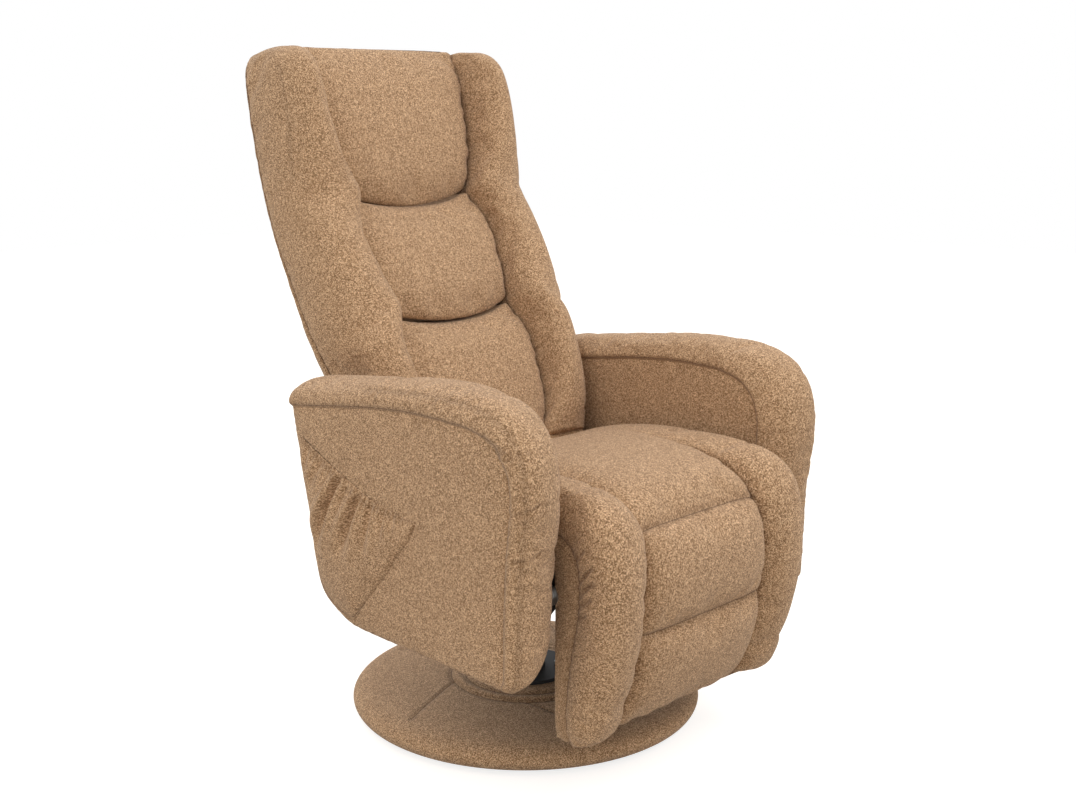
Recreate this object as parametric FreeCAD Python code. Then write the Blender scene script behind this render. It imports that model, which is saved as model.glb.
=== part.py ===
import FreeCAD, Part
import math
import os
from FreeCAD import Vector

# Swivel recliner on a round padded base. Millimetres, +Z up, the chair faces -Y and +X is the
# sitter's left. The origin lies on the floor, on the swivel axis.

# Sizes of the whole chair
arm_face_to_face = 680.0
arm_width = 100.0
base_radius = 287.0

# The seat frame's level, and the levels that go up and down with it
seat_bottom_height = 353.0
seat_pad_height = 102.0
knee_drop = 3.0
recline_rise = 32.0
beam_drop = 121.0
arm_drop = 134.0

# Running clearances and the overrun that every cut shares
pin_clearance = 0.1
face_clearance = 0.5
soft_clearance = 1.0
knee_clearance = 2.0
rail_clearance = 4.0
board_clearance = 8.0
lining_clearance = 12.0
lining_margin = 4.0
overrun = 20.0

# Arms: the sewn seam seen from the side, and the padded roll that stands on it
arm_length = 471.0
arm_height = 350.0
arm_front_y = -299.0
arm_front_line = 251.0
arm_front_lean = 92.0
arm_corner_radius = 91.0
arm_crown_tilt = 3.0
arm_top_radius = 1600.0
arm_rear_tilt = -11.0
arm_panel_thickness = 10.0
arm_roll_crest = 34.0
arm_toe_radius = 60.0
arm_toe_depth = 95.0
arm_bolt_radius = 5.0
arm_bolt_head_radius = 9.0
arm_bolt_head_height = 6.0
arm_bolt_grip = 60.0

# Seat and footrest soft parts
seat_cushion_half_width = 140.0
seat_outer_half_width = 216.0
seat_crown_rise = 8.0
bolster_knee_radius = 113.0
cushion_knee_radius = 103.0
knee_hub_radius = 57.0
knee_split_offset = 36.0
leg_front_turn = 34.0
leg_end_height = 86.0
leg_toe_radius = 30.0
footrest_board_bottom = 95.0
footrest_board_thickness = 15.0
footrest_lining_thickness = 3.0

# Footrest hinge, recline hinge and the drive between them
knee_pivot_y = -296.0
recline_pivot_y = 95.0
recline_crank_length = 95.0
footrest_crank_length = 48.0
recline_travel = 36.0
footrest_travel = 75.0
side_plate_inner_x = 206.0
plate_thickness = 4.0
plate_gap = 2.0
pivot_pin_radius = 5.0
pivot_head_radius = 9.0
pivot_head_height = 3.0
link_half_height = 9.0
link_slot_play = 5.6
link_eye_radius = 15.0
hinge_foot_rise = 116.0

# Backrest: a board line that leans, then turns more upright behind the head
back_lower_lean = 29.0
back_upper_lean = 16.5
back_bend_start = 400.0
back_bend_length = 150.0
back_board_start = 31.5
back_board_length = 715.0
back_pad_length = 745.0
back_board_thickness = 12.0
back_board_half_width = 212.0
back_nose_radius = 61.0
back_nose_half_width = 203.0
back_rear_depth = 84.0

# Seat frame
rail_width = 25.0
rail_height = 38.0
strap_width = 45.0
strap_thickness = 1.5

# Chassis steel
cross_member_width = 40.0
cross_member_height = 30.0
cross_member_wall = 2.5
cross_member_y = 85.0
beam_height = 58.0
beam_front_y = -215.0
beam_rear_y = 100.0
top_plate_half_width = 110.0
top_plate_thickness = 6.0

# Swivel column and base
race_radius = 60.0
race_height = 7.0
washer_height = 1.6
column_radius = 32.0
column_wall = 3.0
column_flange_radius = 75.0
column_flange_thickness = 6.0
spindle_radius = 12.0
foot_height = 8.0
foot_radius = 18.0
foot_circle_radius = 238.0
foot_count = 5
foot_first_angle = -108.0
base_rim_height = 44.0
base_cover_thickness = 6.0
base_plate_thickness = 6.0
base_ring_outer_radius = 125.0
base_ring_inner_radius = 105.0
base_collar_radius = 62.0
base_top_height = 60.0
seam_groove_radius = 1.5
spoke_first_angle = 36.4
spoke_slant_angle = 27.0

# Side pocket on the outer face of the sitter's right arm
pocket_depth = 15.0
pocket_wall = 3.0
pocket_hem = 6.0

# Turns in degrees, and counts
full_turn = 360.0
half_turn = 180.0
quarter_turn = 90.0
nut_flats = 6
strap_layers = 2
beam_bays = 6
slot_bays = (1, 3)

# Proportions: each is a share of the size that it stands beside
spoke_sink_share = 0.33
bolt_head_share = 2.0
nut_corner_share = 1.8
race_bore_share = 2.6
plate_corner_share = 0.2
ear_setback_share = 2.0
beam_nose_share = 0.25
horn_share = 0.33
beam_slot_share = 0.2
slot_start_share = 0.25
slot_length_share = 0.9
arm_bolt_rise_share = 0.75
arm_bolt_setback_share = 1.6
long_strap_shares = (-0.6, -0.2, 0.2, 0.6)
cross_strap_shares = (0.3, 0.7)
seat_wall_share = 2.5
board_setback_share = 1.6
bracket_share = 3.0
crank_eye_share = 2.4
hinge_arm_share = 0.9
toe_depth_share = 0.9
bolster_wall_share = 0.72
pad_wall_share = 0.86
board_corner_share = 0.25
bracket_height_share = 0.6
cushion_wall_share = 0.8
wing_wall_share = 0.66
rear_wall_share = 0.5
seam_reach_share = 1.4
seam_dip_share = 0.32
seam_depth_share = 3.0
pocket_middle_shares = (0.72, 0.36)

# Values that follow from the sizes above
seat_top_height = seat_bottom_height + seat_pad_height
knee_pivot_z = seat_bottom_height - knee_drop
recline_pivot_z = seat_bottom_height + recline_rise
beam_bottom_z = seat_bottom_height - beam_drop
arm_bottom_height = seat_bottom_height - arm_drop
leg_front_radius = (knee_pivot_z - leg_end_height) / math.sin(math.radians(leg_front_turn))
arm_outer_x = arm_face_to_face / 2
arm_inner_x = arm_outer_x - arm_width
bracket_inner_x = side_plate_inner_x + plate_thickness + plate_gap
link_inner_x = bracket_inner_x + plate_thickness + plate_gap
link_outer_x = link_inner_x + plate_thickness
knee = (knee_pivot_y, knee_pivot_z)
recline = (recline_pivot_y, recline_pivot_z)
knee_split_y = knee_pivot_y + knee_split_offset


def arc_x(radius, height):
    """Half chord of a circle at a height from its centre."""
    return math.sqrt(radius * radius - height * height)


def at(x, point):
    """A side-view point, given as (y, z), at a distance x from the middle plane."""
    return Vector(x, point[0], point[1])


def polar(centre, radius, degrees):
    """A side-view point on a circle round a side-view centre."""
    turn = math.radians(degrees)
    return (centre[0] + radius * math.cos(turn), centre[1] + radius * math.sin(turn))


def turned(start, radius, from_degrees, to_degrees):
    """End and middle of an arc that leaves a side-view point and turns clockwise."""
    def step(degrees):
        a, b = math.radians(from_degrees), math.radians(degrees)
        return (start[0] + radius * (math.sin(a) - math.sin(b)),
                start[1] + radius * (math.cos(b) - math.cos(a)))
    return step(to_degrees), step((from_degrees + to_degrees) / 2)


def box(x0, x1, y0, y1, z0, z1):
    return Part.makeBox(x1 - x0, y1 - y0, z1 - z0, Vector(x0, y0, z0))


def rod_x(x0, x1, centre, radius):
    return Part.makeCylinder(radius, x1 - x0, at(x0, centre), Vector(1, 0, 0))


def rod_z(z0, z1, radius, x=0.0, y=0.0):
    return Part.makeCylinder(radius, z1 - z0, Vector(x, y, z0), Vector(0, 0, 1))


def line(a, b):
    return Part.makeLine(a, b)


def arc(a, middle, b):
    return Part.Arc(a, middle, b).toShape()


def prism_x(edges, x0, x1):
    """Solid between x0 and x1 from the edges of a side view drawn at x = 0."""
    face = Part.Face(Part.Wire(Part.__sortEdges__(edges)))
    solid = face.extrude(Vector(x1 - x0, 0, 0))
    solid.translate(Vector(x0, 0, 0))
    return solid


def strap_x(a, b, radius, x0, x1):
    """Flat bar with round ends about two side-view points."""
    run = Vector(0, b[0] - a[0], b[1] - a[1])
    run.normalize()
    side = Vector(0, -run.z, run.y) * radius
    p, q, tip = at(0, a), at(0, b), run * radius
    edges = [line(p + side, q + side), arc(q + side, q + tip, q - side),
             line(q - side, p - side), arc(p - side, p - tip, p + side)]
    return prism_x(edges, x0, x1)


def fuse(shapes):
    solid = shapes[0]
    for other in shapes[1:]:
        solid = solid.fuse(other)
    return solid.removeSplitter()


def cut(solid, tools):
    for tool in tools:
        solid = solid.cut(tool)
    return solid


def mirrored(shape):
    return shape.mirror(Vector(0, 0, 0), Vector(1, 0, 0))


def group(pieces):
    """Compound of the pieces' solids, side by side."""
    return Part.makeCompound([solid for piece in pieces for solid in piece.Solids])


def save(name, shape):
    shape.exportStep("parts/" + name + ".step")


def save_pair(name, shape):
    """The given piece is the one on the sitter's left, at +X."""
    save(name + "_left", shape)
    save(name + "_right", mirrored(shape))


def save_both(name, shape):
    """One node that holds the piece and its twin on the other side."""
    save(name, group([shape, mirrored(shape)]))


def arch_wire(origin, across, up, half_width, wall, crest, base):
    """Section of a pad: flat base, short side walls and a crown of three arcs.

    The walls lean in a little towards the base, as sewn sides do.
    """
    draw_in_share = 0.96
    shoulder_share = 0.74
    shoulder_rise_share = 0.72
    cheek_share = 0.94
    cheek_rise_share = 0.40
    rise = crest - wall

    def point(x_share, height):
        return origin + across * (half_width * x_share) + up * height

    right, left = point(1.0, wall), point(-1.0, wall)
    cheek_right = point(cheek_share, wall + rise * cheek_rise_share)
    cheek_left = point(-cheek_share, wall + rise * cheek_rise_share)
    shoulder_right = point(shoulder_share, wall + rise * shoulder_rise_share)
    shoulder_left = point(-shoulder_share, wall + rise * shoulder_rise_share)
    crown = [arc(right, cheek_right, shoulder_right),
             arc(shoulder_right, point(0.0, crest), shoulder_left),
             arc(shoulder_left, cheek_left, left)]
    if wall > base:
        low_right, low_left = point(draw_in_share, base), point(-draw_in_share, base)
        return Part.Wire([line(low_right, right)] + crown
                         + [line(left, low_left), line(low_left, low_right)])
    return Part.Wire(crown + [line(left, right)])


def loft(wires):
    return Part.makeLoft(wires, True, False)


# The round base

def base_profile(inset):
    """Half section of the padded base: rim, low cone and collar, drawn in by an inset."""
    rim_radius = (base_rim_height - foot_height) / 2
    rim_z = foot_height + rim_radius
    rim_x = base_radius - rim_radius
    ring_z = base_rim_height + (base_top_height - base_rim_height) / 2
    low = Vector(rim_x, 0, foot_height + inset)
    outer = Vector(base_radius - inset, 0, rim_z)
    high = Vector(rim_x, 0, base_rim_height - inset)
    ring = Vector(base_ring_outer_radius, 0, ring_z - inset)
    collar = Vector(base_collar_radius, 0, base_top_height - inset)
    return low, outer, high, ring, collar


def base_solid(inset):
    low, outer, high, ring, collar = base_profile(inset)
    foot_in = Vector(0, 0, low.z)
    foot_up = Vector(0, 0, collar.z)
    edges = [line(foot_in, low), arc(low, outer, high), line(high, ring), line(ring, collar),
             line(collar, foot_up), line(foot_up, foot_in)]
    face = Part.Face(Part.Wire(edges))
    return face.revolve(Vector(0, 0, 0), Vector(0, 0, 1), full_turn)


def seam_groove(radius, height, depth):
    return Part.makeTorus(radius, depth, Vector(0, 0, height), Vector(0, 0, 1))


def base_cover():
    """Padded fabric skin, with ring seams and slanting spoke seams pressed into its top."""
    groove = seam_groove_radius
    spoke_turn = full_turn / foot_count
    sink = groove * spoke_sink_share
    skin = base_solid(0).cut(base_solid(base_cover_thickness))
    skin = skin.cut(rod_z(foot_height, foot_height + base_cover_thickness,
                          base_radius - base_rim_height / 2))
    low, outer, high, ring, collar = base_profile(0)
    slope = (collar.z - ring.z) / (ring.x - collar.x)
    inner_z = ring.z + (base_ring_outer_radius - base_ring_inner_radius) * slope
    tools = [seam_groove(base_ring_outer_radius, ring.z, groove),
             seam_groove(base_ring_inner_radius, inner_z, groove)]
    for k in range(foot_count):
        rim_angle = math.radians(spoke_first_angle + k * spoke_turn)
        ring_angle = rim_angle - math.radians(spoke_slant_angle)
        start = Vector(ring.x * math.cos(ring_angle), ring.x * math.sin(ring_angle), ring.z + sink)
        end = Vector(high.x * math.cos(rim_angle), high.x * math.sin(rim_angle), high.z + sink)
        run = end - start
        tools.append(Part.makeCylinder(groove, run.Length, start, run))
    return cut(skin, tools)


def base_core():
    """Particle board disc under the padding."""
    plate_top = foot_height + base_cover_thickness + base_plate_thickness
    core = base_solid(base_cover_thickness)
    return core.cut(rod_z(0, plate_top, base_radius))


def base_weight():
    """Round steel plate under the board, which keeps the chair from tipping."""
    bottom = foot_height + base_cover_thickness
    return rod_z(bottom, bottom + base_plate_thickness,
                 base_radius - base_rim_height / 2 - face_clearance)


def base_underside():
    """Thin dust board that closes the base from below."""
    return rod_z(foot_height, foot_height + base_cover_thickness,
                 base_radius - base_rim_height / 2)


def foot_places():
    for k in range(foot_count):
        turn = math.radians(foot_first_angle + k * full_turn / foot_count)
        yield foot_circle_radius * math.cos(turn), foot_circle_radius * math.sin(turn)


def glide_feet():
    """Round plastic glides, a little narrower where they meet the floor."""
    taper_share = 0.85
    return group([Part.makeCone(foot_radius * taper_share, foot_radius, foot_height,
                                Vector(x, y, 0)) for x, y in foot_places()])


def column_heights():
    """Levels of the swivel, from the top of the base up to the plate under the seat."""
    plate_bottom = beam_bottom_z - top_plate_thickness
    upper_race = plate_bottom - race_height
    washer = upper_race - washer_height
    lower_race = washer - race_height
    flange = lower_race - column_flange_thickness
    return flange, lower_race, washer, upper_race, plate_bottom


def column():
    """Steel tube with a flange at each end, round the spindle."""
    flange, lower_race, washer, upper_race, plate_bottom = column_heights()
    foot = rod_z(base_top_height, base_top_height + column_flange_thickness, column_flange_radius)
    tube = rod_z(base_top_height, lower_race, column_radius)
    head = rod_z(flange, lower_race, race_radius)
    hollow = rod_z(base_top_height - overrun, lower_race + overrun, column_radius - column_wall)
    bolt_radius = column_flange_thickness / 2
    bolt_circle = (column_flange_radius + column_radius) / 2
    holes = [rod_z(base_top_height - overrun, base_top_height + overrun, bolt_radius,
                   bolt_circle * x, bolt_circle * y) for x, y in quarter_places()]
    return cut(fuse([foot, tube, head]), [hollow] + holes)


def quarter_places():
    half = math.sqrt(0.5)
    return [(half, half), (-half, half), (-half, -half), (half, -half)]


def column_bolts():
    radius = column_flange_thickness / 2
    circle = (column_flange_radius + column_radius) / 2
    head = base_top_height + column_flange_thickness
    bolts = []
    for x, y in quarter_places():
        shank = rod_z(base_top_height, head, radius - pin_clearance, circle * x, circle * y)
        cap = rod_z(head, head + column_flange_thickness, radius * bolt_head_share, circle * x, circle * y)
        bolts.append(fuse([shank, cap]))
    return group(bolts)


def spindle():
    """Swivel pin: its collar sits in the column, its shank turns in the upper plate."""
    flange, lower_race, washer, upper_race, plate_bottom = column_heights()
    collar = rod_z(flange, lower_race, column_radius - column_wall)
    shank = rod_z(flange, beam_bottom_z + spindle_radius, spindle_radius)
    return fuse([collar, shank])


def spindle_nut():
    """Retaining nut on the spindle, above the upper plate."""
    bottom = beam_bottom_z + face_clearance
    corner = spindle_radius * nut_corner_share
    points = []
    for k in range(nut_flats + 1):
        turn = math.radians(k * full_turn / nut_flats)
        points.append(Vector(corner * math.cos(turn), corner * math.sin(turn), bottom))
    nut = Part.Face(Part.makePolygon(points)).extrude(Vector(0, 0, spindle_radius))
    return nut.cut(rod_z(bottom - overrun, bottom + overrun, spindle_radius))


def race(bottom, height):
    inner = spindle_radius * race_bore_share
    return rod_z(bottom, bottom + height, race_radius).cut(
        rod_z(bottom - overrun, bottom + overrun, inner))


# The chassis under the seat

def top_plate():
    half = top_plate_half_width
    plate = box(-half, half, -half, half, beam_bottom_z - top_plate_thickness, beam_bottom_z)
    corner_edges = [e for e in plate.Edges if abs(e.tangentAt(e.FirstParameter).z) > 0.9]
    plate = plate.makeFillet(half * plate_corner_share, corner_edges)
    bore = rod_z(beam_bottom_z - overrun, beam_bottom_z + overrun, spindle_radius + pin_clearance)
    return plate.cut(bore)


def cross_member(y):
    """Box tube welded between the two side plates."""
    half = cross_member_width / 2
    wall = cross_member_wall
    top = beam_bottom_z + cross_member_height
    outer = box(-side_plate_inner_x, side_plate_inner_x, y - half, y + half, beam_bottom_z, top)
    inner = box(-side_plate_inner_x - overrun, side_plate_inner_x + overrun,
                y - half + wall, y + half - wall, beam_bottom_z + wall, top - wall)
    return outer.cut(inner)


def ear_places():
    """Where the side plate rises to carry the seat rails."""
    front = knee_pivot_y + bolster_knee_radius + rail_width * ear_setback_share
    rear = recline_pivot_y - back_nose_radius - rail_width * ear_setback_share
    return front, rear


def side_plate():
    """Stamped steel plate: nose to the knee hinge, beam, ears and a horn to the recline hinge."""
    x0 = side_plate_inner_x
    x1 = x0 + plate_thickness
    beam_top = beam_bottom_z + beam_height
    nose_radius = beam_height * beam_nose_share
    beam_end = (beam_front_y, beam_bottom_z + nose_radius)
    horn_radius = beam_height * horn_share
    horn_foot = (beam_rear_y - horn_radius, beam_bottom_z + horn_radius)
    shapes = [box(x0, x1, beam_front_y, beam_rear_y - horn_radius, beam_bottom_z, beam_top),
              strap_x(knee, beam_end, nose_radius, x0, x1),
              strap_x(horn_foot, recline, horn_radius, x0, x1)]
    rail_middle = seat_bottom_height - strap_thickness * strap_layers - rail_height / 2
    for y in ear_places():
        shapes.append(strap_x((y, beam_top - horn_radius), (y, rail_middle), horn_radius, x0, x1))
    slot_radius = beam_height * beam_slot_share
    slot_z = beam_bottom_z + beam_height / 2
    bay = (beam_rear_y - beam_front_y) / beam_bays
    slots = []
    for k in slot_bays:
        start = beam_front_y + bay * (k + slot_start_share)
        end = start + bay * slot_length_share
        slots.append(strap_x((start, slot_z), (end, slot_z), slot_radius, x0 - overrun,
                             x1 + overrun))
    holes = [rod_x(x0 - overrun, x1 + overrun, p, pivot_pin_radius + pin_clearance)
             for p in (knee, recline)]
    holes += [rod_x(x0 - overrun, x1 + overrun, p, arm_bolt_radius + pin_clearance)
              for p in arm_bolt_places()]
    return cut(fuse(shapes), slots + holes)


def arm_bolt_places():
    z = beam_bottom_z + cross_member_height * arm_bolt_rise_share
    rear_y = cross_member_y - cross_member_width * arm_bolt_setback_share
    return [(beam_front_y + beam_height, z), (rear_y, z)]


def pivot_pin(centre, x0, x1):
    """Shouldered steel pin with a head on the inner side and a riveted end outside."""
    shank = rod_x(x0 - pivot_head_height, x1 + pivot_head_height, centre, pivot_pin_radius)
    heads = [rod_x(x0 - pivot_head_height, x0, centre, pivot_head_radius),
             rod_x(x1, x1 + pivot_head_height, centre, pivot_head_radius)]
    return fuse([shank] + heads)


def arm_bracket():
    """Two box spacers that carry one arm on the side plate."""
    x0 = side_plate_inner_x + plate_thickness
    half = cross_member_width / 2
    wall = cross_member_wall
    pieces = []
    for y, z in arm_bolt_places():
        low = beam_bottom_z + wall
        high = z + (z - low)
        outer = box(x0, arm_inner_x, y - half, y + half, low, high)
        inner = box(x0 + wall, arm_inner_x - wall, y - half - overrun, y + half + overrun,
                    low + wall, high - wall)
        hole = rod_x(x0 - overrun, arm_inner_x + overrun, (y, z), arm_bolt_radius + pin_clearance)
        pieces.append(cut(outer, [inner, hole]))
    return group(pieces)


def arm_bolts():
    head_x = side_plate_inner_x - arm_bolt_head_height
    bolts = []
    for place in arm_bolt_places():
        head = rod_x(head_x, side_plate_inner_x, place, arm_bolt_head_radius)
        shank = rod_x(head_x, arm_inner_x + arm_bolt_grip, place, arm_bolt_radius)
        bolts.append(fuse([head, shank]))
    return group(bolts)


# The seat frame: four rails and woven straps

def rail_levels():
    top = seat_bottom_height - strap_thickness * strap_layers
    return top - rail_height, top


def rail_ends():
    front = knee_pivot_y + bolster_knee_radius + rail_clearance
    rear = recline_pivot_y - back_nose_radius
    return front, rear


def side_rail():
    low, high = rail_levels()
    front, rear = rail_ends()
    return box(side_plate_inner_x - rail_width, side_plate_inner_x, front, rear, low, high)


def cross_rail(y0):
    low, high = rail_levels()
    half = side_plate_inner_x - rail_width
    return box(-half, half, y0, y0 + rail_width, low, high)


def seat_straps():
    """Long straps tacked on the rails, with cross straps over them."""
    low, high = rail_levels()
    front, rear = rail_ends()
    half = strap_width / 2
    long_straps = []
    for share in long_strap_shares:
        x = share * (side_plate_inner_x - rail_width)
        long_straps.append(box(x - half, x + half, front, rear, high, high + strap_thickness))
    cross = []
    for share in cross_strap_shares:
        y = front + share * (rear - front)
        cross.append(box(-side_plate_inner_x, side_plate_inner_x, y - half, y + half,
                         high + strap_thickness, high + strap_thickness * strap_layers))
    return group(long_straps + cross)


# Seat cushion and bolsters: crowned pads hollowed round the knee and the back's nose

def seat_pad_sections(x_middle, half_width, rise):
    """Sections across the seat, from the knee to the crease at the back."""
    seat_front = knee_split_y
    seat_rear = recline_pivot_y - back_nose_radius / 2
    length = seat_rear - seat_front
    height = seat_top_height - seat_bottom_height
    sections = []
    for y_share, top_share in seat_line_shares:
        origin = Vector(x_middle, seat_front + length * y_share, seat_bottom_height)
        crest = height * top_share + rise
        wall = crest - seat_crown_rise * seat_wall_share
        sections.append(arch_wire(origin, Vector(1, 0, 0), Vector(0, 0, 1),
                                  half_width, wall, crest, 0.0))
    return sections


# Height of the seat's crown from knee to crease, as shares of its length and height
seat_line_shares = ((0.0, 0.965), (0.2, 1.0), (0.45, 0.985), (0.75, 0.86), (1.0, 0.66))


def seat_pad(x_middle, half_width, rise, knee_radius):
    pad = loft(seat_pad_sections(x_middle, half_width, rise))
    reach = arm_outer_x
    knee_hollow = rod_x(-reach, reach, knee, knee_radius + knee_clearance)
    nose_hollow = rod_x(-reach, reach, recline, back_nose_radius + soft_clearance)
    front_drop = box(-reach, reach, knee_split_y - overrun, knee_pivot_y + knee_radius,
                     knee_pivot_z - overrun, knee_pivot_z)
    return cut(pad, [knee_hollow, nose_hollow, front_drop])


def seat_cushion():
    return seat_pad(0.0, seat_cushion_half_width - soft_clearance, 0.0, cushion_knee_radius)


def seat_bolster():
    half = (seat_outer_half_width - seat_cushion_half_width) / 2
    middle = seat_cushion_half_width + half
    return seat_pad(middle, half - soft_clearance / 2, seat_crown_rise, bolster_knee_radius)


# Footrest: board, hinge arms, three centre pads and two bolsters that turn over the knee

def footrest_board_rear():
    return knee_pivot_y + footrest_board_thickness * board_setback_share


def footrest_board():
    rear = footrest_board_rear()
    top = knee_pivot_z - knee_hub_radius - board_clearance
    board = box(-bracket_inner_x, bracket_inner_x, rear - footrest_board_thickness, rear,
                footrest_board_bottom, top)
    return board


def footrest_lining():
    rear = footrest_board_rear()
    top = knee_pivot_z - knee_hub_radius - lining_clearance
    half = bracket_inner_x - lining_margin
    return box(-half, half, rear, rear + footrest_lining_thickness,
               footrest_board_bottom + lining_margin, top)


def crank_rest_angles():
    """Both cranks hang half their travel behind straight down."""
    return recline_travel / 2 - quarter_turn, footrest_travel / 2 - quarter_turn


def recline_crank_point():
    return polar(recline, recline_crank_length, crank_rest_angles()[0])


def footrest_crank_point():
    return polar(knee, footrest_crank_length, crank_rest_angles()[1])


def footrest_hinge_arm():
    x0 = bracket_inner_x
    x1 = x0 + plate_thickness
    half = footrest_board_thickness / 2
    middle = footrest_board_rear() - half
    top = (middle, knee_pivot_z - knee_hub_radius)
    foot = (middle, footrest_board_bottom + hinge_foot_rise)
    crank = footrest_crank_point()
    bar = half * hinge_arm_share
    shapes = [strap_x(knee, crank, pivot_pin_radius * crank_eye_share, x0, x1),
              strap_x(knee, top, bar, x0, x1), strap_x(top, foot, bar, x0, x1)]
    holes = [rod_x(x0 - overrun, x1 + overrun, p, pivot_pin_radius + pin_clearance)
             for p in (knee, crank)]
    return cut(fuse(shapes), holes)


def leg_surface(radius, place):
    """Front of a leg pad at a place along it, with its outward angle and the pad's depth there.

    Places 0 to 1 go round the knee, 1 to 2 down the long front arc and 2 to 3 round the toe.
    """
    rear = footrest_board_rear() - footrest_board_thickness
    split_angle = math.degrees(math.acos(knee_split_offset / radius))
    if place <= 1:
        angle = split_angle + (half_turn - split_angle) * place
        return polar(knee, radius, angle), angle, radius - knee_hub_radius / 2
    front_centre = (knee_pivot_y - radius + leg_front_radius, knee_pivot_z)
    turn = min(place - 1, 1.0) * leg_front_turn
    spot = polar(front_centre, leg_front_radius, half_turn + turn)
    depth = (rear - spot[0]) / math.cos(math.radians(turn)) + soft_clearance
    if place <= 2:
        return spot, half_turn + turn, depth
    toe_centre = polar(front_centre, leg_front_radius - leg_toe_radius,
                       half_turn + leg_front_turn)
    round_share = place - 2
    angle = half_turn + leg_front_turn + (quarter_turn - leg_front_turn) * round_share
    toe_depth = leg_toe_radius * toe_depth_share
    return polar(toe_centre, leg_toe_radius, angle), angle, depth + (toe_depth - depth) * round_share


def leg_pad(radius, middle_x, half_width, stations, wall_share):
    """Pad lofted along the leg; each station is a place and the crown's dip there."""
    wires = []
    for place, dip_share in stations:
        spot, angle, depth = leg_surface(radius, place)
        turn = math.radians(angle)
        outward = Vector(0, math.cos(turn), math.sin(turn))
        crest = depth - radius * dip_share
        origin = at(middle_x, spot) - outward * depth
        wires.append(arch_wire(origin, Vector(1, 0, 0), outward, half_width,
                               crest * wall_share, crest, 0.0))
    reach = arm_outer_x
    rear = footrest_board_rear() - footrest_board_thickness
    hub = rod_x(-reach, reach, knee, knee_hub_radius)
    behind = box(-reach, reach, rear, rear + reach, -overrun, knee_pivot_z)
    past_split = box(-reach, reach, knee_split_y - soft_clearance / 2, knee_split_y + reach,
                     knee_pivot_z - reach, knee_pivot_z + reach)
    return cut(loft(wires), [hub, behind, past_split])


# Places along the leg with the crown's dip, as a share of the knee radius: the seams lie deep
bolster_stations = ((0.0, 0.0), (0.25, 0.0), (0.5, 0.0), (0.75, 0.0), (1.0, 0.0), (1.3, 0.0),
                    (1.65, 0.0), (2.0, 0.0), (2.5, 0.0), (3.0, 0.0))
knee_pad_stations = ((0.0, 0.0), (0.2, 0.0), (0.4, 0.04), (0.55, 0.2))
upper_pad_stations = ((0.55, 0.2), (0.7, 0.05), (0.9, 0.0), (1.15, 0.0), (1.3, 0.04), (1.4, 0.16))
lower_pad_stations = ((1.4, 0.16), (1.5, 0.05), (1.7, 0.0), (1.9, 0.01), (2.1, 0.03), (2.6, 0.03),
                      (3.0, 0.03))


def footrest_bolster():
    """One roll from the seat's front over the knee and down the leg."""
    half = (seat_outer_half_width - seat_cushion_half_width) / 2 - soft_clearance / 4
    middle = seat_outer_half_width - half
    return leg_pad(bolster_knee_radius, middle, half, bolster_stations,
                   bolster_wall_share)


def centre_pad(stations):
    return leg_pad(cushion_knee_radius, 0.0, seat_cushion_half_width, stations, pad_wall_share)


# Backrest

def back_frame_at(s):
    """Origin, upward and forward directions of the board line at a distance from the hinge."""
    low, high = math.radians(back_lower_lean), math.radians(back_upper_lean)
    turn = low - high
    radius = back_bend_length / turn
    start = Vector(0, recline_pivot_y, recline_pivot_z)
    up_low = Vector(0, math.sin(low), math.cos(low))
    if s <= back_bend_start:
        lean = low
        origin = start + up_low * s
    else:
        bend = min(s - back_bend_start, back_bend_length) / radius
        lean = low - bend
        bend_foot = start + up_low * back_bend_start
        centre = bend_foot + Vector(0, -math.cos(low), math.sin(low)) * radius
        origin = centre - Vector(0, -math.cos(lean), math.sin(lean)) * radius
        past = max(0.0, s - back_bend_start - back_bend_length)
        origin = origin + Vector(0, math.sin(lean), math.cos(lean)) * past
    return origin, Vector(0, math.sin(lean), math.cos(lean)), Vector(0, -math.cos(lean), math.sin(lean))


def back_point(s, offset):
    origin, up, front = back_frame_at(s)
    return origin + front * offset


def back_board():
    half = back_board_thickness / 2
    bend_mid = back_bend_start + back_bend_length / 2
    bend_end = back_bend_start + back_bend_length

    def side_line(offset):
        return [line(back_point(back_board_start, offset), back_point(back_bend_start, offset)),
                arc(back_point(back_bend_start, offset), back_point(bend_mid, offset),
                    back_point(bend_end, offset)),
                line(back_point(bend_end, offset), back_point(back_board_length, offset))]
    edges = side_line(half) + side_line(-half)
    edges += [line(back_point(back_board_start, half), back_point(back_board_start, -half)),
              line(back_point(back_board_length, half), back_point(back_board_length, -half))]
    board = prism_x(edges, -back_board_half_width, back_board_half_width)
    top_z = back_point(back_board_length, 0).z
    corner = back_board_half_width * board_corner_share
    top_edges = [e for e in board.Edges
                 if abs(e.tangentAt(e.FirstParameter).x) < 0.1
                 and min(v.Point.z for v in e.Vertexes) > top_z - back_board_thickness]
    return board.makeFillet(corner, top_edges)


# Half width of the centre panel and height of its crown along the backrest, as shares of the
# pad's length, of the seat cushion's half width and of the nose radius
panel_width_shares = ((0.0, 0.72), (0.045, 0.78), (0.09, 0.91), (0.15, 1.01), (0.27, 1.08),
                      (0.335, 1.0), (0.37, 0.97), (0.49, 1.08), (0.57, 1.08), (0.645, 0.96),
                      (0.70, 1.04), (0.78, 1.16), (0.94, 1.26), (1.0, 1.26))
wing_outer_shares = ((0.0, 1.6), (0.12, 1.64), (0.25, 1.67), (0.34, 1.74), (0.42, 1.77),
                     (0.88, 1.77), (0.94, 1.75), (0.98, 1.69), (1.0, 1.58))


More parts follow.
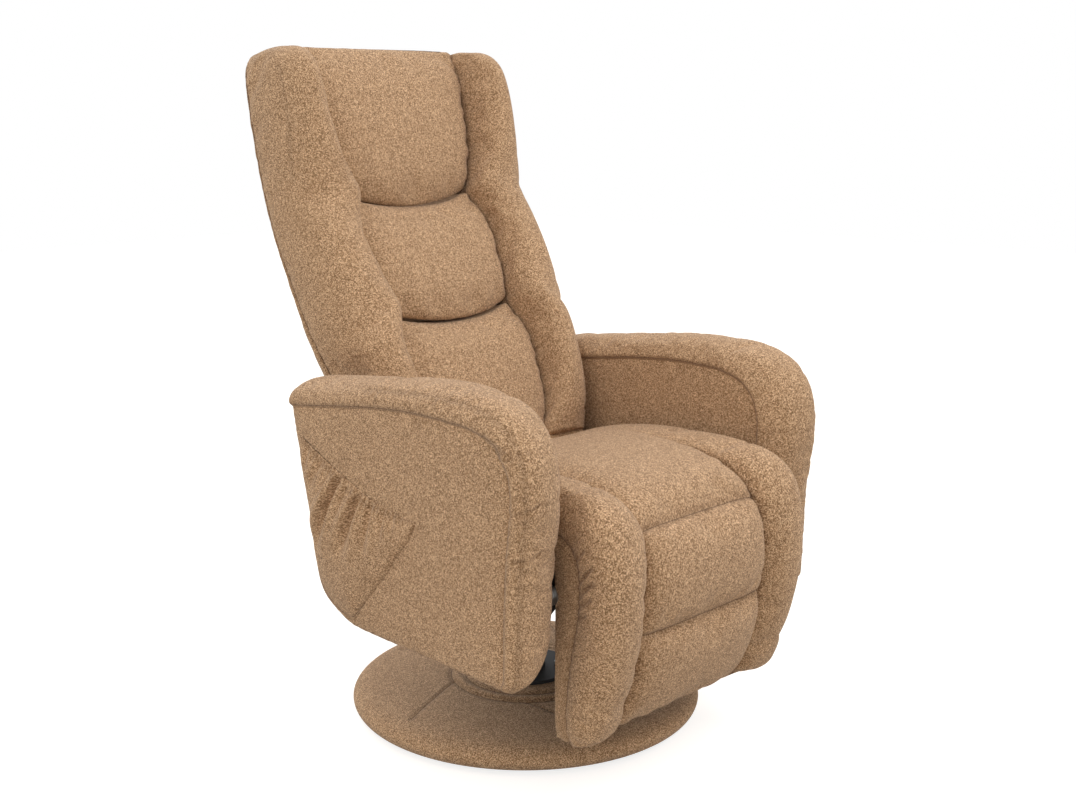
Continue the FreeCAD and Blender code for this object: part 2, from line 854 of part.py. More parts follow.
def share_at(shares, place):
    for (p0, v0), (p1, v1) in zip(shares, shares[1:]):
        if place <= p1:
            return v0 + (v1 - v0) * (place - p0) / (p1 - p0)
    return shares[-1][1]


def panel_half_width(s):
    return seat_cushion_half_width * share_at(panel_width_shares, s / back_pad_length)


def wing_outer(s):
    return seat_cushion_half_width * share_at(wing_outer_shares, s / back_pad_length)


def back_cushion(stations, low_seam, high_seam, neighbours):
    """Crowned pad in the centre column, between two seams that dip in their middle."""
    wires = []
    for s_share, crest_share in stations:
        s = s_share * back_pad_length
        origin, up, front = back_frame_at(s)
        half = panel_half_width(s) + soft_clearance
        crest = back_nose_radius * crest_share
        wires.append(arch_wire(origin, Vector(1, 0, 0), front, half,
                               crest * cushion_wall_share, crest, 0.0))
    pad = cut(loft(wires), neighbours)
    for seam, above in ((low_seam, False), (high_seam, True)):
        if seam:
            pad = pad.cut(seam_cutter(seam, above))
    return pad


def seam_cutter(seam_share, above):
    """Everything above, or below, a dipping seam across the panel."""
    s = seam_share * back_pad_length
    origin, up, front = back_frame_at(s)
    half = seat_cushion_half_width * seam_reach_share
    dip = seat_cushion_half_width * seam_dip_share
    gap = soft_clearance / 2 if above else -soft_clearance / 2
    base = origin - front * back_nose_radius - up * gap
    depth = front * (back_nose_radius * seam_depth_share)
    away = up * (back_pad_length / 2 if above else -back_pad_length / 2)
    left, right = base + Vector(-half, 0, 0) + up * dip, base + Vector(half, 0, 0) + up * dip
    edges = [arc(left, base, right), line(right, right + away),
             line(right + away, left + away), line(left + away, left)]
    return Part.Face(Part.Wire(edges)).extrude(depth)


def back_wing(board):
    """Side roll of the backrest, from beside the nose up to the rounded ear."""
    wires = []
    for s_share, crest_share in wing_crest_shares:
        s = s_share * back_pad_length
        origin, up, front = back_frame_at(s)
        inner = panel_half_width(s)
        outer = wing_outer(s)
        crest = back_nose_radius * crest_share
        middle = origin + Vector((inner + outer) / 2, 0, 0)
        wires.append(arch_wire(middle, Vector(1, 0, 0), front, (outer - inner) / 2,
                               crest * wing_wall_share, crest, 0.0))
    return cut(loft(wires), [board, bracket_envelope()])


# Height of the wing's crown along the backrest, as shares of the pad's length and nose radius
wing_crest_shares = ((0.042, 1.3), (0.12, 1.72), (0.25, 2.02), (0.45, 2.05), (0.6, 2.05),
                     (0.75, 2.05), (0.87, 1.98), (0.94, 1.75), (0.98, 1.4), (1.0, 1.05))


def bracket_envelope():
    """Room for the steel bracket beside the board."""
    room = plate_gap
    top = back_point(bracket_top(), 0)
    return strap_x(recline, (top.y, top.z), pivot_pin_radius * bracket_share + room,
                   bracket_inner_x - room, bracket_inner_x + plate_thickness + room)


def bracket_top():
    return back_board_start + back_board_half_width * bracket_height_share


def back_bracket():
    """Steel arm beside the board, with the drive crank below the recline hinge."""
    x0 = bracket_inner_x
    x1 = x0 + plate_thickness
    top = back_point(bracket_top(), 0)
    crank = recline_crank_point()
    shapes = [strap_x(recline, (top.y, top.z), pivot_pin_radius * bracket_share, x0, x1),
              strap_x(recline, crank, pivot_pin_radius * crank_eye_share, x0, x1)]
    holes = [rod_x(x0 - overrun, x1 + overrun, p, pivot_pin_radius + pin_clearance)
             for p in (recline, crank)]
    return cut(fuse(shapes), holes)


def back_nose():
    """Round lower end of the backrest, which turns in the seat's crease."""
    half = back_nose_half_width
    drum = rod_x(-half, half, recline, back_nose_radius)
    origin, up, front = back_frame_at(back_board_start - soft_clearance / 2)
    reach = back_nose_radius + overrun
    corners = [origin + front * reach, origin + front * reach + up * reach,
               origin - front * reach + up * reach, origin - front * reach]
    edges = [line(a, b) for a, b in zip(corners, corners[1:] + corners[:1])]
    above = prism_x(edges, -half - overrun, half + overrun)
    return drum.cut(above)


def rear_cover(neighbours):
    """Padded shell on the rear of the backrest, fuller low down and thin behind the head."""
    wires = []
    for s_share, depth_share in rear_depth_shares:
        s = s_share * back_pad_length
        origin, up, front = back_frame_at(s)
        depth = back_rear_depth * depth_share
        wires.append(arch_wire(origin, Vector(1, 0, 0), front * -1, wing_outer(s) - soft_clearance,
                               depth * rear_wall_share, depth, 0.0))
    return cut(loft(wires), neighbours + [bracket_envelope(), mirrored(bracket_envelope())])


# Depth of the rear cover along the backrest, as shares of the pad's length and of its full depth
rear_depth_shares = ((0.042, 0.62), (0.12, 0.86), (0.22, 1.0), (0.36, 0.88), (0.5, 0.64),
                     (0.65, 0.46), (0.82, 0.36), (0.985, 0.24))


# Drive between backrest and footrest

def drive_link():
    """Flat bar from the backrest's crank to the footrest's crank.

    Its front hole is a slot, because the loop closes there.
    """
    rear, front = recline_crank_point(), footrest_crank_point()
    eye = (front[0], front[1] - link_slot_play / 2)
    bar = fuse([strap_x(rear, eye, link_half_height, link_inner_x, link_outer_x),
                rod_x(link_inner_x, link_outer_x, eye, link_eye_radius)])
    hole = rod_x(link_inner_x - overrun, link_outer_x + overrun, rear,
                 pivot_pin_radius + pin_clearance)
    low = (front[0], front[1] - link_slot_play)
    slot = strap_x(low, front, pivot_pin_radius + plate_gap / 2, link_inner_x - overrun,
                   link_outer_x + overrun)
    return cut(bar, [hole, slot])


def crank_pin(centre):
    """Stud through bracket and link, flush inside so that it passes the side plate."""
    end = link_outer_x + face_clearance
    shank = rod_x(bracket_inner_x, end, centre, pivot_pin_radius)
    return fuse([shank, rod_x(end, end + pivot_head_height, centre, pivot_head_radius)])


# Arms

def arm_corners():
    """Seam points: front foot, front shoulder, end of the corner and rear of the top."""
    lean = math.radians(arm_front_lean)
    foot = (arm_front_y, arm_bottom_height)
    shoulder = (foot[0] + arm_front_line * math.cos(lean), foot[1] + arm_front_line * math.sin(lean))
    crown, corner_mid = turned(shoulder, arm_corner_radius, arm_front_lean, arm_crown_tilt)
    rear, top_mid = turned(crown, arm_top_radius, arm_crown_tilt, arm_rear_tilt)
    return foot, shoulder, corner_mid, crown, top_mid, rear


# Rear of the arm below its top, as shares of the arm's length and height: where the straight
# rear edge ends, the middle of the rounded lower corner, and where the flat bottom starts
arm_rear_shares = ((0.887, 0.317), (0.84, 0.1), (0.71, 0.0))


def arm_edges():
    """The sewn side seam, front and top, and the rest of the arm's outline."""
    foot, shoulder, corner_mid, crown, top_mid, rear = [at(0, q) for q in arm_corners()]
    low_rear, round_mid, sole = [at(0, (arm_front_y + arm_length * y, arm_bottom_height
                                        + arm_height * z)) for y, z in arm_rear_shares]
    seam = [line(foot, shoulder), arc(shoulder, corner_mid, crown), arc(crown, top_mid, rear)]
    rest = [line(rear, low_rear), arc(low_rear, round_mid, sole), line(sole, foot)]
    return seam, rest


def arm_slab(x0, x1):
    seam, rest = arm_edges()
    return prism_x(seam + rest, x0, x1)


def arm_bolt_cutters():
    return [rod_x(arm_inner_x - overrun, arm_inner_x + arm_bolt_grip, p,
                  arm_bolt_radius + pin_clearance) for p in arm_bolt_places()]


def arm_toe_cutter():
    """What is taken off the arm's lower inner corner, so that its front ends in a tongue."""
    x, z = arm_inner_x + arm_toe_radius, arm_bottom_height + arm_toe_radius
    front = arm_front_y - arm_roll_crest - overrun
    rear = arm_front_y + arm_toe_depth
    block = box(arm_inner_x - overrun, x, front, rear, arm_bottom_height - overrun, z)
    return block.cut(Part.makeCylinder(arm_toe_radius, rear - front, Vector(x, front, z),
                                       Vector(0, 1, 0)))


def arm_core():
    return cut(arm_slab(arm_inner_x + arm_panel_thickness, arm_outer_x - arm_panel_thickness),
               arm_bolt_cutters() + [arm_toe_cutter()])


def arm_inner_panel():
    return cut(arm_slab(arm_inner_x, arm_inner_x + arm_panel_thickness),
               arm_bolt_cutters() + [arm_toe_cutter()])


def arm_outer_panel():
    return arm_slab(arm_outer_x - arm_panel_thickness, arm_outer_x)


def arm_roll():
    """Padded band over the front and top of the arm: one arch, run up and turned round."""
    foot, shoulder, corner_mid, crown, top_mid, rear = arm_corners()
    across = Vector(1, 0, 0)
    middle = (arm_inner_x + arm_outer_x) / 2

    def section(point, tilt):
        lean = math.radians(tilt)
        outward = Vector(0, -math.sin(lean), math.cos(lean))
        wire = arch_wire(at(middle, point), across, outward, arm_width / 2, 0.0,
                         arm_roll_crest, 0.0)
        return Part.Face(wire), outward

    front, outward = section(foot, arm_front_lean)
    straight = front.extrude(at(0, shoulder) - at(0, foot))
    corner, outward = section(shoulder, arm_front_lean)
    centre = at(0, shoulder) - outward * arm_corner_radius
    corner = corner.revolve(centre, across, arm_crown_tilt - arm_front_lean)
    top, outward = section(crown, arm_crown_tilt)
    centre = at(0, crown) - outward * arm_top_radius
    top = top.revolve(centre, across, arm_rear_tilt - arm_crown_tilt)
    return cut(fuse([straight, corner, top]), [arm_toe_cutter()])


def side_pocket():
    """Gathered pouch: closed on three sides, open along its slanting top."""
    def outline(inset):
        mid_y_share, mid_z_share = pocket_middle_shares
        mid_y = arm_front_y + arm_length * mid_y_share
        mid_z = arm_bottom_height + arm_height * mid_z_share
        points = []
        for y_share, z_share in pocket_shares:
            y = arm_front_y + arm_length * y_share
            z = arm_bottom_height + arm_height * z_share
            away = math.hypot(y - mid_y, z - mid_z)
            pull = inset / away
            points.append((y + (mid_y - y) * pull, z + (mid_z - z) * pull))
        return points
    outer = pouch_edges(outline(0.0), 0.0)
    inner = pouch_edges(outline(pocket_hem), arm_height)
    face = -arm_outer_x
    shell = prism_x(outer, face - pocket_depth, face)
    hollow = prism_x(inner, face - pocket_depth + pocket_wall, face + overrun)
    return shell.cut(hollow)


# Pocket outline: slanting mouth from rear to front, front seam down, bottom and rear edge
pocket_shares = ((0.945, 0.76), (0.64, 0.6), (0.39, 0.555), (0.51, 0.29), (0.72, 0.012),
                 (0.86, 0.11), (0.905, 0.33))


def pouch_edges(points, lift):
    """Edges of the pouch; a lift moves the mouth up, so that a hollow runs out of it."""
    p = [at(0, q) for q in points]
    mouth = [at(0, (y, z + lift)) for y, z in points[:3]]
    edges = [arc(mouth[0], mouth[1], mouth[2])]
    if lift > 0:
        edges += [line(mouth[2], p[2]), line(p[0], mouth[0])]
    edges += [line(p[2], p[3]), line(p[3], p[4]), arc(p[4], p[5], p[6]), line(p[6], p[0])]
    return edges


# Places along the backrest and crown heights of its three cushions, with the two seams between
middle_seam_share = 0.332
head_seam_share = 0.613
lumbar_shares = ((0.042, 0.95), (0.12, 1.16), (0.24, 1.2), (0.33, 0.96), (0.39, 0.9))
middle_shares = ((0.3, 0.85), (0.37, 1.05), (0.48, 1.22), (0.6, 1.0), (0.68, 0.85))
head_shares = ((0.58, 0.8), (0.66, 1.05), (0.8, 1.2), (0.93, 1.05), (1.0, 0.6))


# Writing the pieces

def write_base():
    flange, lower_race, washer, upper_race, plate_bottom = column_heights()
    save("base_underside", base_underside())
    save("base_weight", base_weight())
    save("base_board", base_core())
    save("base_cover", base_cover())
    save("glide_feet", glide_feet())
    save("column", column())
    save("column_bolts", column_bolts())
    save("swivel_spindle", spindle())
    save("lower_race", race(lower_race, race_height))
    save("swivel_washer", race(washer, washer_height - face_clearance))


def write_chassis():
    flange, lower_race, washer, upper_race, plate_bottom = column_heights()
    front, rear = rail_ends()
    save("upper_race", race(upper_race, race_height))
    save("top_plate", top_plate())
    save("spindle_nut", spindle_nut())
    save("cross_members", group([cross_member(-cross_member_y), cross_member(cross_member_y)]))
    save_pair("side_plate", side_plate())
    save_both("arm_brackets", arm_bracket())
    save_both("arm_bolts", arm_bolts())
    save_pair("seat_rail", side_rail())
    save("seat_rail_front", cross_rail(front))
    save("seat_rail_rear", cross_rail(rear - rail_width))
    save("seat_straps", seat_straps())
    save("seat_cushion", seat_cushion())
    save_pair("seat_bolster", seat_bolster())
    save_pair("arm_core", arm_core())
    save_pair("arm_inner_panel", arm_inner_panel())
    save_pair("arm_outer_panel", arm_outer_panel())
    save_pair("arm_roll", arm_roll())
    save("side_pocket", side_pocket())


def write_footrest():
    knee_pins = pivot_pin(knee, side_plate_inner_x, bracket_inner_x + plate_thickness)
    save("footrest_board", footrest_board())
    save("footrest_lining", footrest_lining())
    save("knee_pad", centre_pad(knee_pad_stations))
    save("upper_leg_pad", centre_pad(upper_pad_stations))
    save("lower_leg_pad", centre_pad(lower_pad_stations))
    save_pair("footrest_bolster", footrest_bolster())
    save_pair("footrest_hinge_arm", footrest_hinge_arm())
    save_both("knee_pins", knee_pins)
    save_both("footrest_crank_pins", crank_pin(footrest_crank_point()))


def write_back():
    board = back_board()
    wing = back_wing(board)
    neighbours = [board, wing, mirrored(wing)]
    recline_pins = pivot_pin(recline, side_plate_inner_x, bracket_inner_x + plate_thickness)
    head = back_cushion(head_shares, head_seam_share, None, neighbours)
    save("back_board", board)
    save("back_nose", back_nose())
    save("lumbar_cushion", back_cushion(lumbar_shares, None, middle_seam_share, neighbours))
    save("middle_cushion", back_cushion(middle_shares, middle_seam_share, head_seam_share,
                                        neighbours))
    save("head_cushion", head)
    save_pair("back_wing", wing)
    save("rear_cover", rear_cover(neighbours + [head]))
    save_pair("back_bracket", back_bracket())
    save_both("recline_pins", recline_pins)
    save_both("recline_crank_pins", crank_pin(recline_crank_point()))


def main():
    os.makedirs("parts", exist_ok=True)
    write_base()
    write_chassis()
    write_footrest()
    write_back()
    save_pair("drive_link", drive_link())


main()
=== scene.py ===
# %% [markdown]
# # A swivel recliner, upholstered around its CAD frame
# The real chair is a steel and plywood frame with foam pads, and one woven cover sewn over all of
# them. The CAD model brings the frame and the places of the pads. This script sews the covers:
# every cushion is a crowned closed form with its seams, puckers and folds.

import math

import bmesh
import bpy
import numpy as np
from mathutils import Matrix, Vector
from mathutils.kdtree import KDTree


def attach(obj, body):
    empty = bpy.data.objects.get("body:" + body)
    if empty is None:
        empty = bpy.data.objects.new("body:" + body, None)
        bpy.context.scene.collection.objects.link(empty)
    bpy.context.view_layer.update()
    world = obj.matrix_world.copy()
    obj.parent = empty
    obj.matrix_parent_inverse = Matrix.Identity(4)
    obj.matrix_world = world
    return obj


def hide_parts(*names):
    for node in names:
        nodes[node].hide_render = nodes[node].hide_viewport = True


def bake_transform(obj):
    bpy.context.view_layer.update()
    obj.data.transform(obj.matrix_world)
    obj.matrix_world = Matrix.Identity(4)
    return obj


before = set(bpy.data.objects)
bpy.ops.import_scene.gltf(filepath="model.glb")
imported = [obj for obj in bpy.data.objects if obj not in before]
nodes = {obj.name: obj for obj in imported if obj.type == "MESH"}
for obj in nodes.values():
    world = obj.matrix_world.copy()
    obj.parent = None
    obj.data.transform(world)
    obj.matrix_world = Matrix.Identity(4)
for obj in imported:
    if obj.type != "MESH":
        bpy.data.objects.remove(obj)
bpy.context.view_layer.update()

# %% [markdown]
# ## Camera
# A lens choice and a place fix how a photograph foreshortens. These values come from lining up the
# chair's own edges, so the picture of the model can be laid over a picture of the chair.

# %% Camera
AZIMUTH, PITCH = math.radians(-45.83), math.radians(11.765)
CAMERA_PLACE = (-1.5787, -1.5617, 0.9744)
LENS, SENSOR = 47.11, 36.0
camera_back = Vector((math.sin(AZIMUTH) * math.cos(PITCH), -math.cos(AZIMUTH) * math.cos(PITCH),
                      math.sin(PITCH)))
camera = bpy.data.objects.new("camera", bpy.data.cameras.new("camera"))
bpy.context.scene.collection.objects.link(camera)
camera.data.lens, camera.data.sensor_width = LENS, SENSOR
camera.location = CAMERA_PLACE
camera.rotation_mode = "QUATERNION"
camera.rotation_quaternion = (-camera_back).to_track_quat("-Z", "Y")
bpy.context.scene.camera = camera
bpy.context.scene.view_settings.view_transform = "Standard"
print("camera at", CAMERA_PLACE)

# %% [markdown]
# ## Shader arithmetic
# A finish is a sum of small patterns. Writing them as plain expressions keeps them readable, so a
# thin class wraps one socket, and each operator on it adds the Math node that does the work.


# %% A socket that can be calculated with
class Wire:
    """One output of a material's nodes, on which the usual operators work."""

    def __init__(self, tree, socket):
        self.tree, self.socket = tree, socket

    def node(self, kind, settings=None, inputs=None, output=0):
        """Any node: its type, its settings, set first, and the values or links of its sockets."""
        made = self.tree.nodes.new("ShaderNode" + kind)
        for name, value in (settings or {}).items():
            setattr(made, name, value)
        for name, value in (inputs or {}).items():
            if isinstance(value, Wire):
                self.tree.links.new(value.socket, made.inputs[name])
            else:
                made.inputs[name].default_value = value
        return Wire(self.tree, made.outputs[output])

    def math(self, operation, first, second=0.0):
        return self.node("Math", {"operation": operation}, {0: first, 1: second})

    def __add__(self, other):
        return self.math("ADD", self, other)

    __radd__ = __add__

    def __sub__(self, other):
        return self.math("SUBTRACT", self, other)

    def __rsub__(self, other):
        return self.math("SUBTRACT", other, self)

    def __mul__(self, other):
        return self.math("MULTIPLY", self, other)

    __rmul__ = __mul__

    def __abs__(self):
        return self.math("ABSOLUTE", self)

    def at_least(self, other):
        return self.math("MAXIMUM", self, other)

    def waves(self, length):
        """A sine wave between -1 and 1 with the given wave length."""
        return self.math("SINE", self * (2 * math.pi / length))

    def axis(self, number):
        """One of the three numbers of a vector wire."""
        return self.node("SeparateXYZ", {}, {0: self}, output=number)

    def fade(self, start, end):
        """0 at start and 1 at end, smoothly; start may be the larger."""
        return self.node("MapRange", {"interpolation_type": "SMOOTHSTEP"},
                         {0: self, 1: start, 2: end, 3: 0.0, 4: 1.0})

    def stretched(self, scale):
        """A vector wire scaled by three numbers."""
        return self.node("VectorMath", {"operation": "MULTIPLY"}, {0: self, 1: scale})

    def noise(self, scale, detail=2.0, rough=0.5):
        return self.node("TexNoise", {}, {"Vector": self, "Scale": scale, "Detail": detail,
                                          "Roughness": rough})

    def between(self, low, high):
        """A colour that runs from low to high as this number runs from 0 to 1."""
        return self.node("Mix", {"data_type": "RGBA"}, {0: self, 6: low, 7: high}, output=2)


print("shader arithmetic ready")

# %% [markdown]
# ## From a pattern to a material
# Every finish of the chair starts from one general shader. A pattern goes to its colour and its
# roughness, and raises a bump, so that light catches the threads of cloth and the grain of wood.


# %% From a pattern to a material
def new_finish(name):
    """A material, a Wire to build from, and its Principled shader."""
    material = bpy.data.materials.new(name)
    material.use_nodes = True
    tree = material.node_tree
    return material, Wire(tree, None), tree.nodes["Principled BSDF"]


def plug(wire, shader, socket):
    wire.tree.links.new(wire.socket, shader.inputs[socket])


def raised(height, distance, shader, strength):
    """A bump as high as distance, in metres, where height is 1, into the shader's normal."""
    bump = height.node("Bump", {}, {"Strength": strength, "Distance": distance, "Height": height})
    plug(bump, shader, "Normal")


print("material tools ready")

# %% [markdown]
# ## The woven cover
# The cloth is a melange: yarns of light sand and darker brown twisted and woven so that every
# thread changes colour along its run. Small cells, each of one tone, stand for the loops of single
# yarns. Two noises, each drawn out along one thread direction, blur them into flecks, and crossed
# sines raise the threads. The covers carry their own coordinates, in metres along and across the
# cloth, so the weave follows each pad. They also carry the distance to the nearest seam, which
# darkens the stitched line and paints shade beside it, where the cloth folds into the seam. The
# crease of an unstitched fold gets the same painted shade.

# %% The woven cover
THREAD, FLECK, STRETCH = 0.0013, 0.0012, 1.4
STITCH_LENGTH, STITCH_ROW = 0.006, 0.0048
CLOTH_DARK = (0.190, 0.105, 0.049, 1.0)
CLOTH_MID = (0.400, 0.241, 0.129, 1.0)
CLOTH_LIGHT = (0.720, 0.490, 0.305, 1.0)
# the stitched line's own colour, also used for the painted shade beside seams and in the creases of folds
SEAM_LINE_AND_SHADE_BROWN = (0.085, 0.043, 0.020, 1.0)


def woven(name, double_stitched=False):
    material, start, shader = new_finish(name)
    cloth = start.node("Attribute", {"attribute_name": "cloth"}, output=1)
    seam = start.node("Attribute", {"attribute_name": "seam"}, output=2)
    run = start.node("Attribute", {"attribute_name": "seam_run"}, output=2)
    long, short = 1 / (FLECK * STRETCH), 1 / FLECK
    along = cloth.stretched((long, short, 1.0)).noise(1.0, 2.0, 0.7)
    across = cloth.stretched((short, long, 7.0)).noise(1.0, 2.0, 0.7)
    fleck = (along + across) * 0.5
    yarn = cloth.stretched((short, short, 1.0))
    yarn = yarn.node("TexVoronoi", {}, {"Vector": yarn, "Scale": 1.0, "Randomness": 0.9},
                     output=1).axis(0)
    patch = cloth.noise(34.0, 3.0)
    weave = cloth.axis(0).waves(THREAD) * cloth.axis(1).waves(THREAD)
    tone = yarn * 1.1 - 0.05 + (fleck - 0.5) * 0.8 + weave * 0.10 + (patch - 0.5) * 0.15
    dark_to_mid = tone.fade(0.05, 0.55).between(CLOTH_DARK, CLOTH_MID)
    colour = tone.fade(0.5, 1.05).between(dark_to_mid, CLOTH_LIGHT)
    line = seam.fade(0.0012, 0.0004)
    # painted shade: the cloth within 9 mm of a seam or a fold's crease is darkened, as the fold there
    # would be shaded
    shade = (line * 0.72).at_least(seam.fade(0.009, 0.001) * 0.22)
    if double_stitched:
        stitch = abs(seam - STITCH_ROW).fade(0.0009, 0.0003) * run.waves(STITCH_LENGTH).fade(-0.4, 0.2)
        shade = shade.at_least(stitch * 0.6)
    plug(shade.between(colour, SEAM_LINE_AND_SHADE_BROWN), shader, "Base Color")
    plug(patch * 0.10 + 0.84, shader, "Roughness")
    raised(weave * 0.32 + fleck * 1.1 - line * 1.5, 0.0007, shader, 0.55)
    shader.inputs["Specular IOR Level"].default_value = 0.25
    shader.inputs["Sheen Weight"].default_value = 0.12
    shader.inputs["Sheen Roughness"].default_value = 0.6
    return material


cover_cloth = woven("woven_cover")
base_cloth = woven("woven_base_cover", double_stitched=True)
print("cloth thread", THREAD, "m")

# %% [markdown]
# ## Finishes of the frame
# Painted steel, bright zinc, beech plywood, elastic webbing, dust cloth and moulded plastic. They
# are seen in the gaps and from below, and each has its own grain. Object coordinates are metres
# here, so a scale of 100 means a pattern of about a centimetre.


# %% Finishes of the frame
def powder_coat(place):
    speck = place.noise(1400.0, 3.0)
    return place.noise(30.0, 3.0), speck, speck


def zinc_plating(place):
    brushed = place.stretched((900.0, 60.0, 60.0)).noise(1.0, 4.0)
    return place.noise(45.0, 3.0), brushed, brushed


def plywood_grain(place):
    grain = place.stretched((40.0, 6.0, 40.0)).noise(3.0, 5.0, 0.6)
    pores = place.stretched((700.0, 60.0, 700.0)).noise(1.0, 2.0)
    tone = grain * 0.8 + pores * 0.2 + place.axis(2).waves(0.0028) * 0.06
    return tone.fade(0.25, 0.75), pores, tone


def elastic_ribs(place):
    fibre = place.noise(900.0, 2.0)
    tone = place.axis(0).waves(0.0022) * place.axis(1).waves(0.0030) * 0.25 + fibre * 0.5 + 0.25
    return tone, fibre, tone


def pressed_fibres(place):
    fibre = place.noise(520.0, 5.0, 0.7)
    dots = place.node("TexVoronoi", {}, {"Vector": place, "Scale": 380.0})
    tone = fibre * 0.7 + dots * 0.5
    return tone, fibre, tone


def moulded_texture(place):
    texture = place.noise(850.0, 2.0)
    return texture, texture, texture


def frame_finish(name, pattern, dark, light, rough, vary, height, strength, metallic=0.0, shine=0.5):
    """A finish whose pattern gives its tone, what varies its roughness and what raises it."""
    material, start, shader = new_finish(name)
    tone, grain, relief = pattern(start.node("TexCoord", {}, output=3))
    plug(tone.between((*dark, 1), (*light, 1)), shader, "Base Color")
    plug(grain * vary + rough, shader, "Roughness")
    raised(relief, height, shader, strength)
    shader.inputs["Metallic"].default_value = metallic
    shader.inputs["Specular IOR Level"].default_value = shine
    return material


print("patterns ready")

# %% [markdown]
# Each slot of the CAD model gets its finish here. The numbers after the two tones are the
# roughness and how much it varies, the relief's height and strength, and for steel how much the
# surface is a metal and how it shines.

# %% A finish for each slot
finish_of_slot = {
    "fabric": cover_cloth,
    "lining": frame_finish("dust_cloth", pressed_fibres, (0.018, 0.017, 0.016),
                           (0.070, 0.066, 0.060), 0.86, 0.1, 0.0004, 0.6),
    "webbing": frame_finish("elastic_webbing", elastic_ribs, (0.022, 0.021, 0.020),
                            (0.085, 0.080, 0.074), 0.85, 0.1, 0.0005, 0.7),
    "plywood": frame_finish("beech_plywood", plywood_grain, (0.36, 0.22, 0.11),
                            (0.62, 0.44, 0.26), 0.50, 0.2, 0.0003, 0.5),
    "steel_black": frame_finish("powder_coated_steel", powder_coat, (0.014, 0.014, 0.015),
                                (0.030, 0.030, 0.032), 0.50, 0.20, 0.0002, 0.6, 0.1, 0.3),
    "steel_grey": frame_finish("zinc_plated_steel", zinc_plating, (0.36, 0.37, 0.38),
                               (0.52, 0.52, 0.51), 0.26, 0.25, 0.0001, 0.5, 0.9),
    "plastic_black": frame_finish("moulded_plastic", moulded_texture, (0.016, 0.015, 0.015),
                                  (0.030, 0.029, 0.028), 0.42, 0.2, 0.00015, 0.6)}
for node in nodes.values():
    node.data.materials[0] = finish_of_slot[node.data.materials[0].name.split(".")[0]]
print("finishes", sorted(finish_of_slot))

# %% [markdown]
# ## Lines and rings
# A pad is easiest to describe by the way it is cut: a line over its crown, a line under it, and a
# section between them. Those give rings of points, one for each place along the pad.


# %% Lines and rings
def through(points, count):
    """Evenly spaced rows on a smooth line through the given rows; the first two columns are y, z."""
    p = np.asarray(points, float)
    p = np.vstack([2 * p[0] - p[1], p, 2 * p[-1] - p[-2]])
    t = np.linspace(0, 1, 24, endpoint=False)[:, None]
    fine = [0.5 * (2 * b + (c - a) * t + (2 * a - 5 * b + 4 * c - d) * t ** 2
                   + (3 * b - a - 3 * c + d) * t ** 3) for a, b, c, d in zip(p, p[1:], p[2:], p[3:])]
    fine = np.vstack(fine + [p[-2:-1]])
    run = np.concatenate([[0], np.cumsum(np.linalg.norm(np.diff(fine[:, :2], axis=0), axis=1))])
    even = np.linspace(0, run[-1], count)
    return np.stack([np.interp(even, run, fine[:, k]) for k in range(fine.shape[1])], axis=1)


def growth(place, start, length, most=1.0):
    """0 until a coordinate falls to start, 1 once it has fallen by length, and never over most."""
    return np.clip((start - place) / length, 0, most)


def squarer(turn, power):
    """A cosine that a power under 1 pushes out to the sides, as a squarer section needs."""
    return np.sign(np.cos(turn)) * np.abs(np.cos(turn)) ** power


def side_rings(rows, count, section):
    """Rings of a pad between its crown line and its inner line, both seen from the side."""
    rings = []
    for outer_y, outer_z, inner_y, inner_z, *shape in through(rows, count):
        outer, inner = np.array([outer_y, outer_z]), np.array([inner_y, inner_z])
        depth = np.linalg.norm(inner - outer)
        profile = section(depth, *shape)
        side = outer + profile[:, 1:] * (inner - outer) / depth
        rings.append(np.column_stack([profile[:, 0], side]))
    return np.array(rings)


def rounded_end(rings, at_start, reach, steps=4):
    """Adds rings that close in at an end, as a stuffed end does."""
    end, before = (rings[0], rings[1]) if at_start else (rings[-1], rings[-2])
    centre = end.mean(0)
    away = centre - before.mean(0)
    away = away / np.linalg.norm(away)
    extra = []
    for k in range(1, steps + 1):
        turn = k / steps * math.pi / 2
        extra.append(centre + (end - centre) * max(math.cos(turn), 0.12) + away * reach * math.sin(turn))
    extra = np.array(extra)
    return np.concatenate([extra[::-1], rings]) if at_start else np.concatenate([rings, extra])


print("lines and rings ready")

# %% [markdown]
# ## A skin over rings
# Neighbouring rings are joined by a skin of quads. It could be modelled by hand, but a grid like
# this keeps its rows and columns, so a seam is simply one of them.


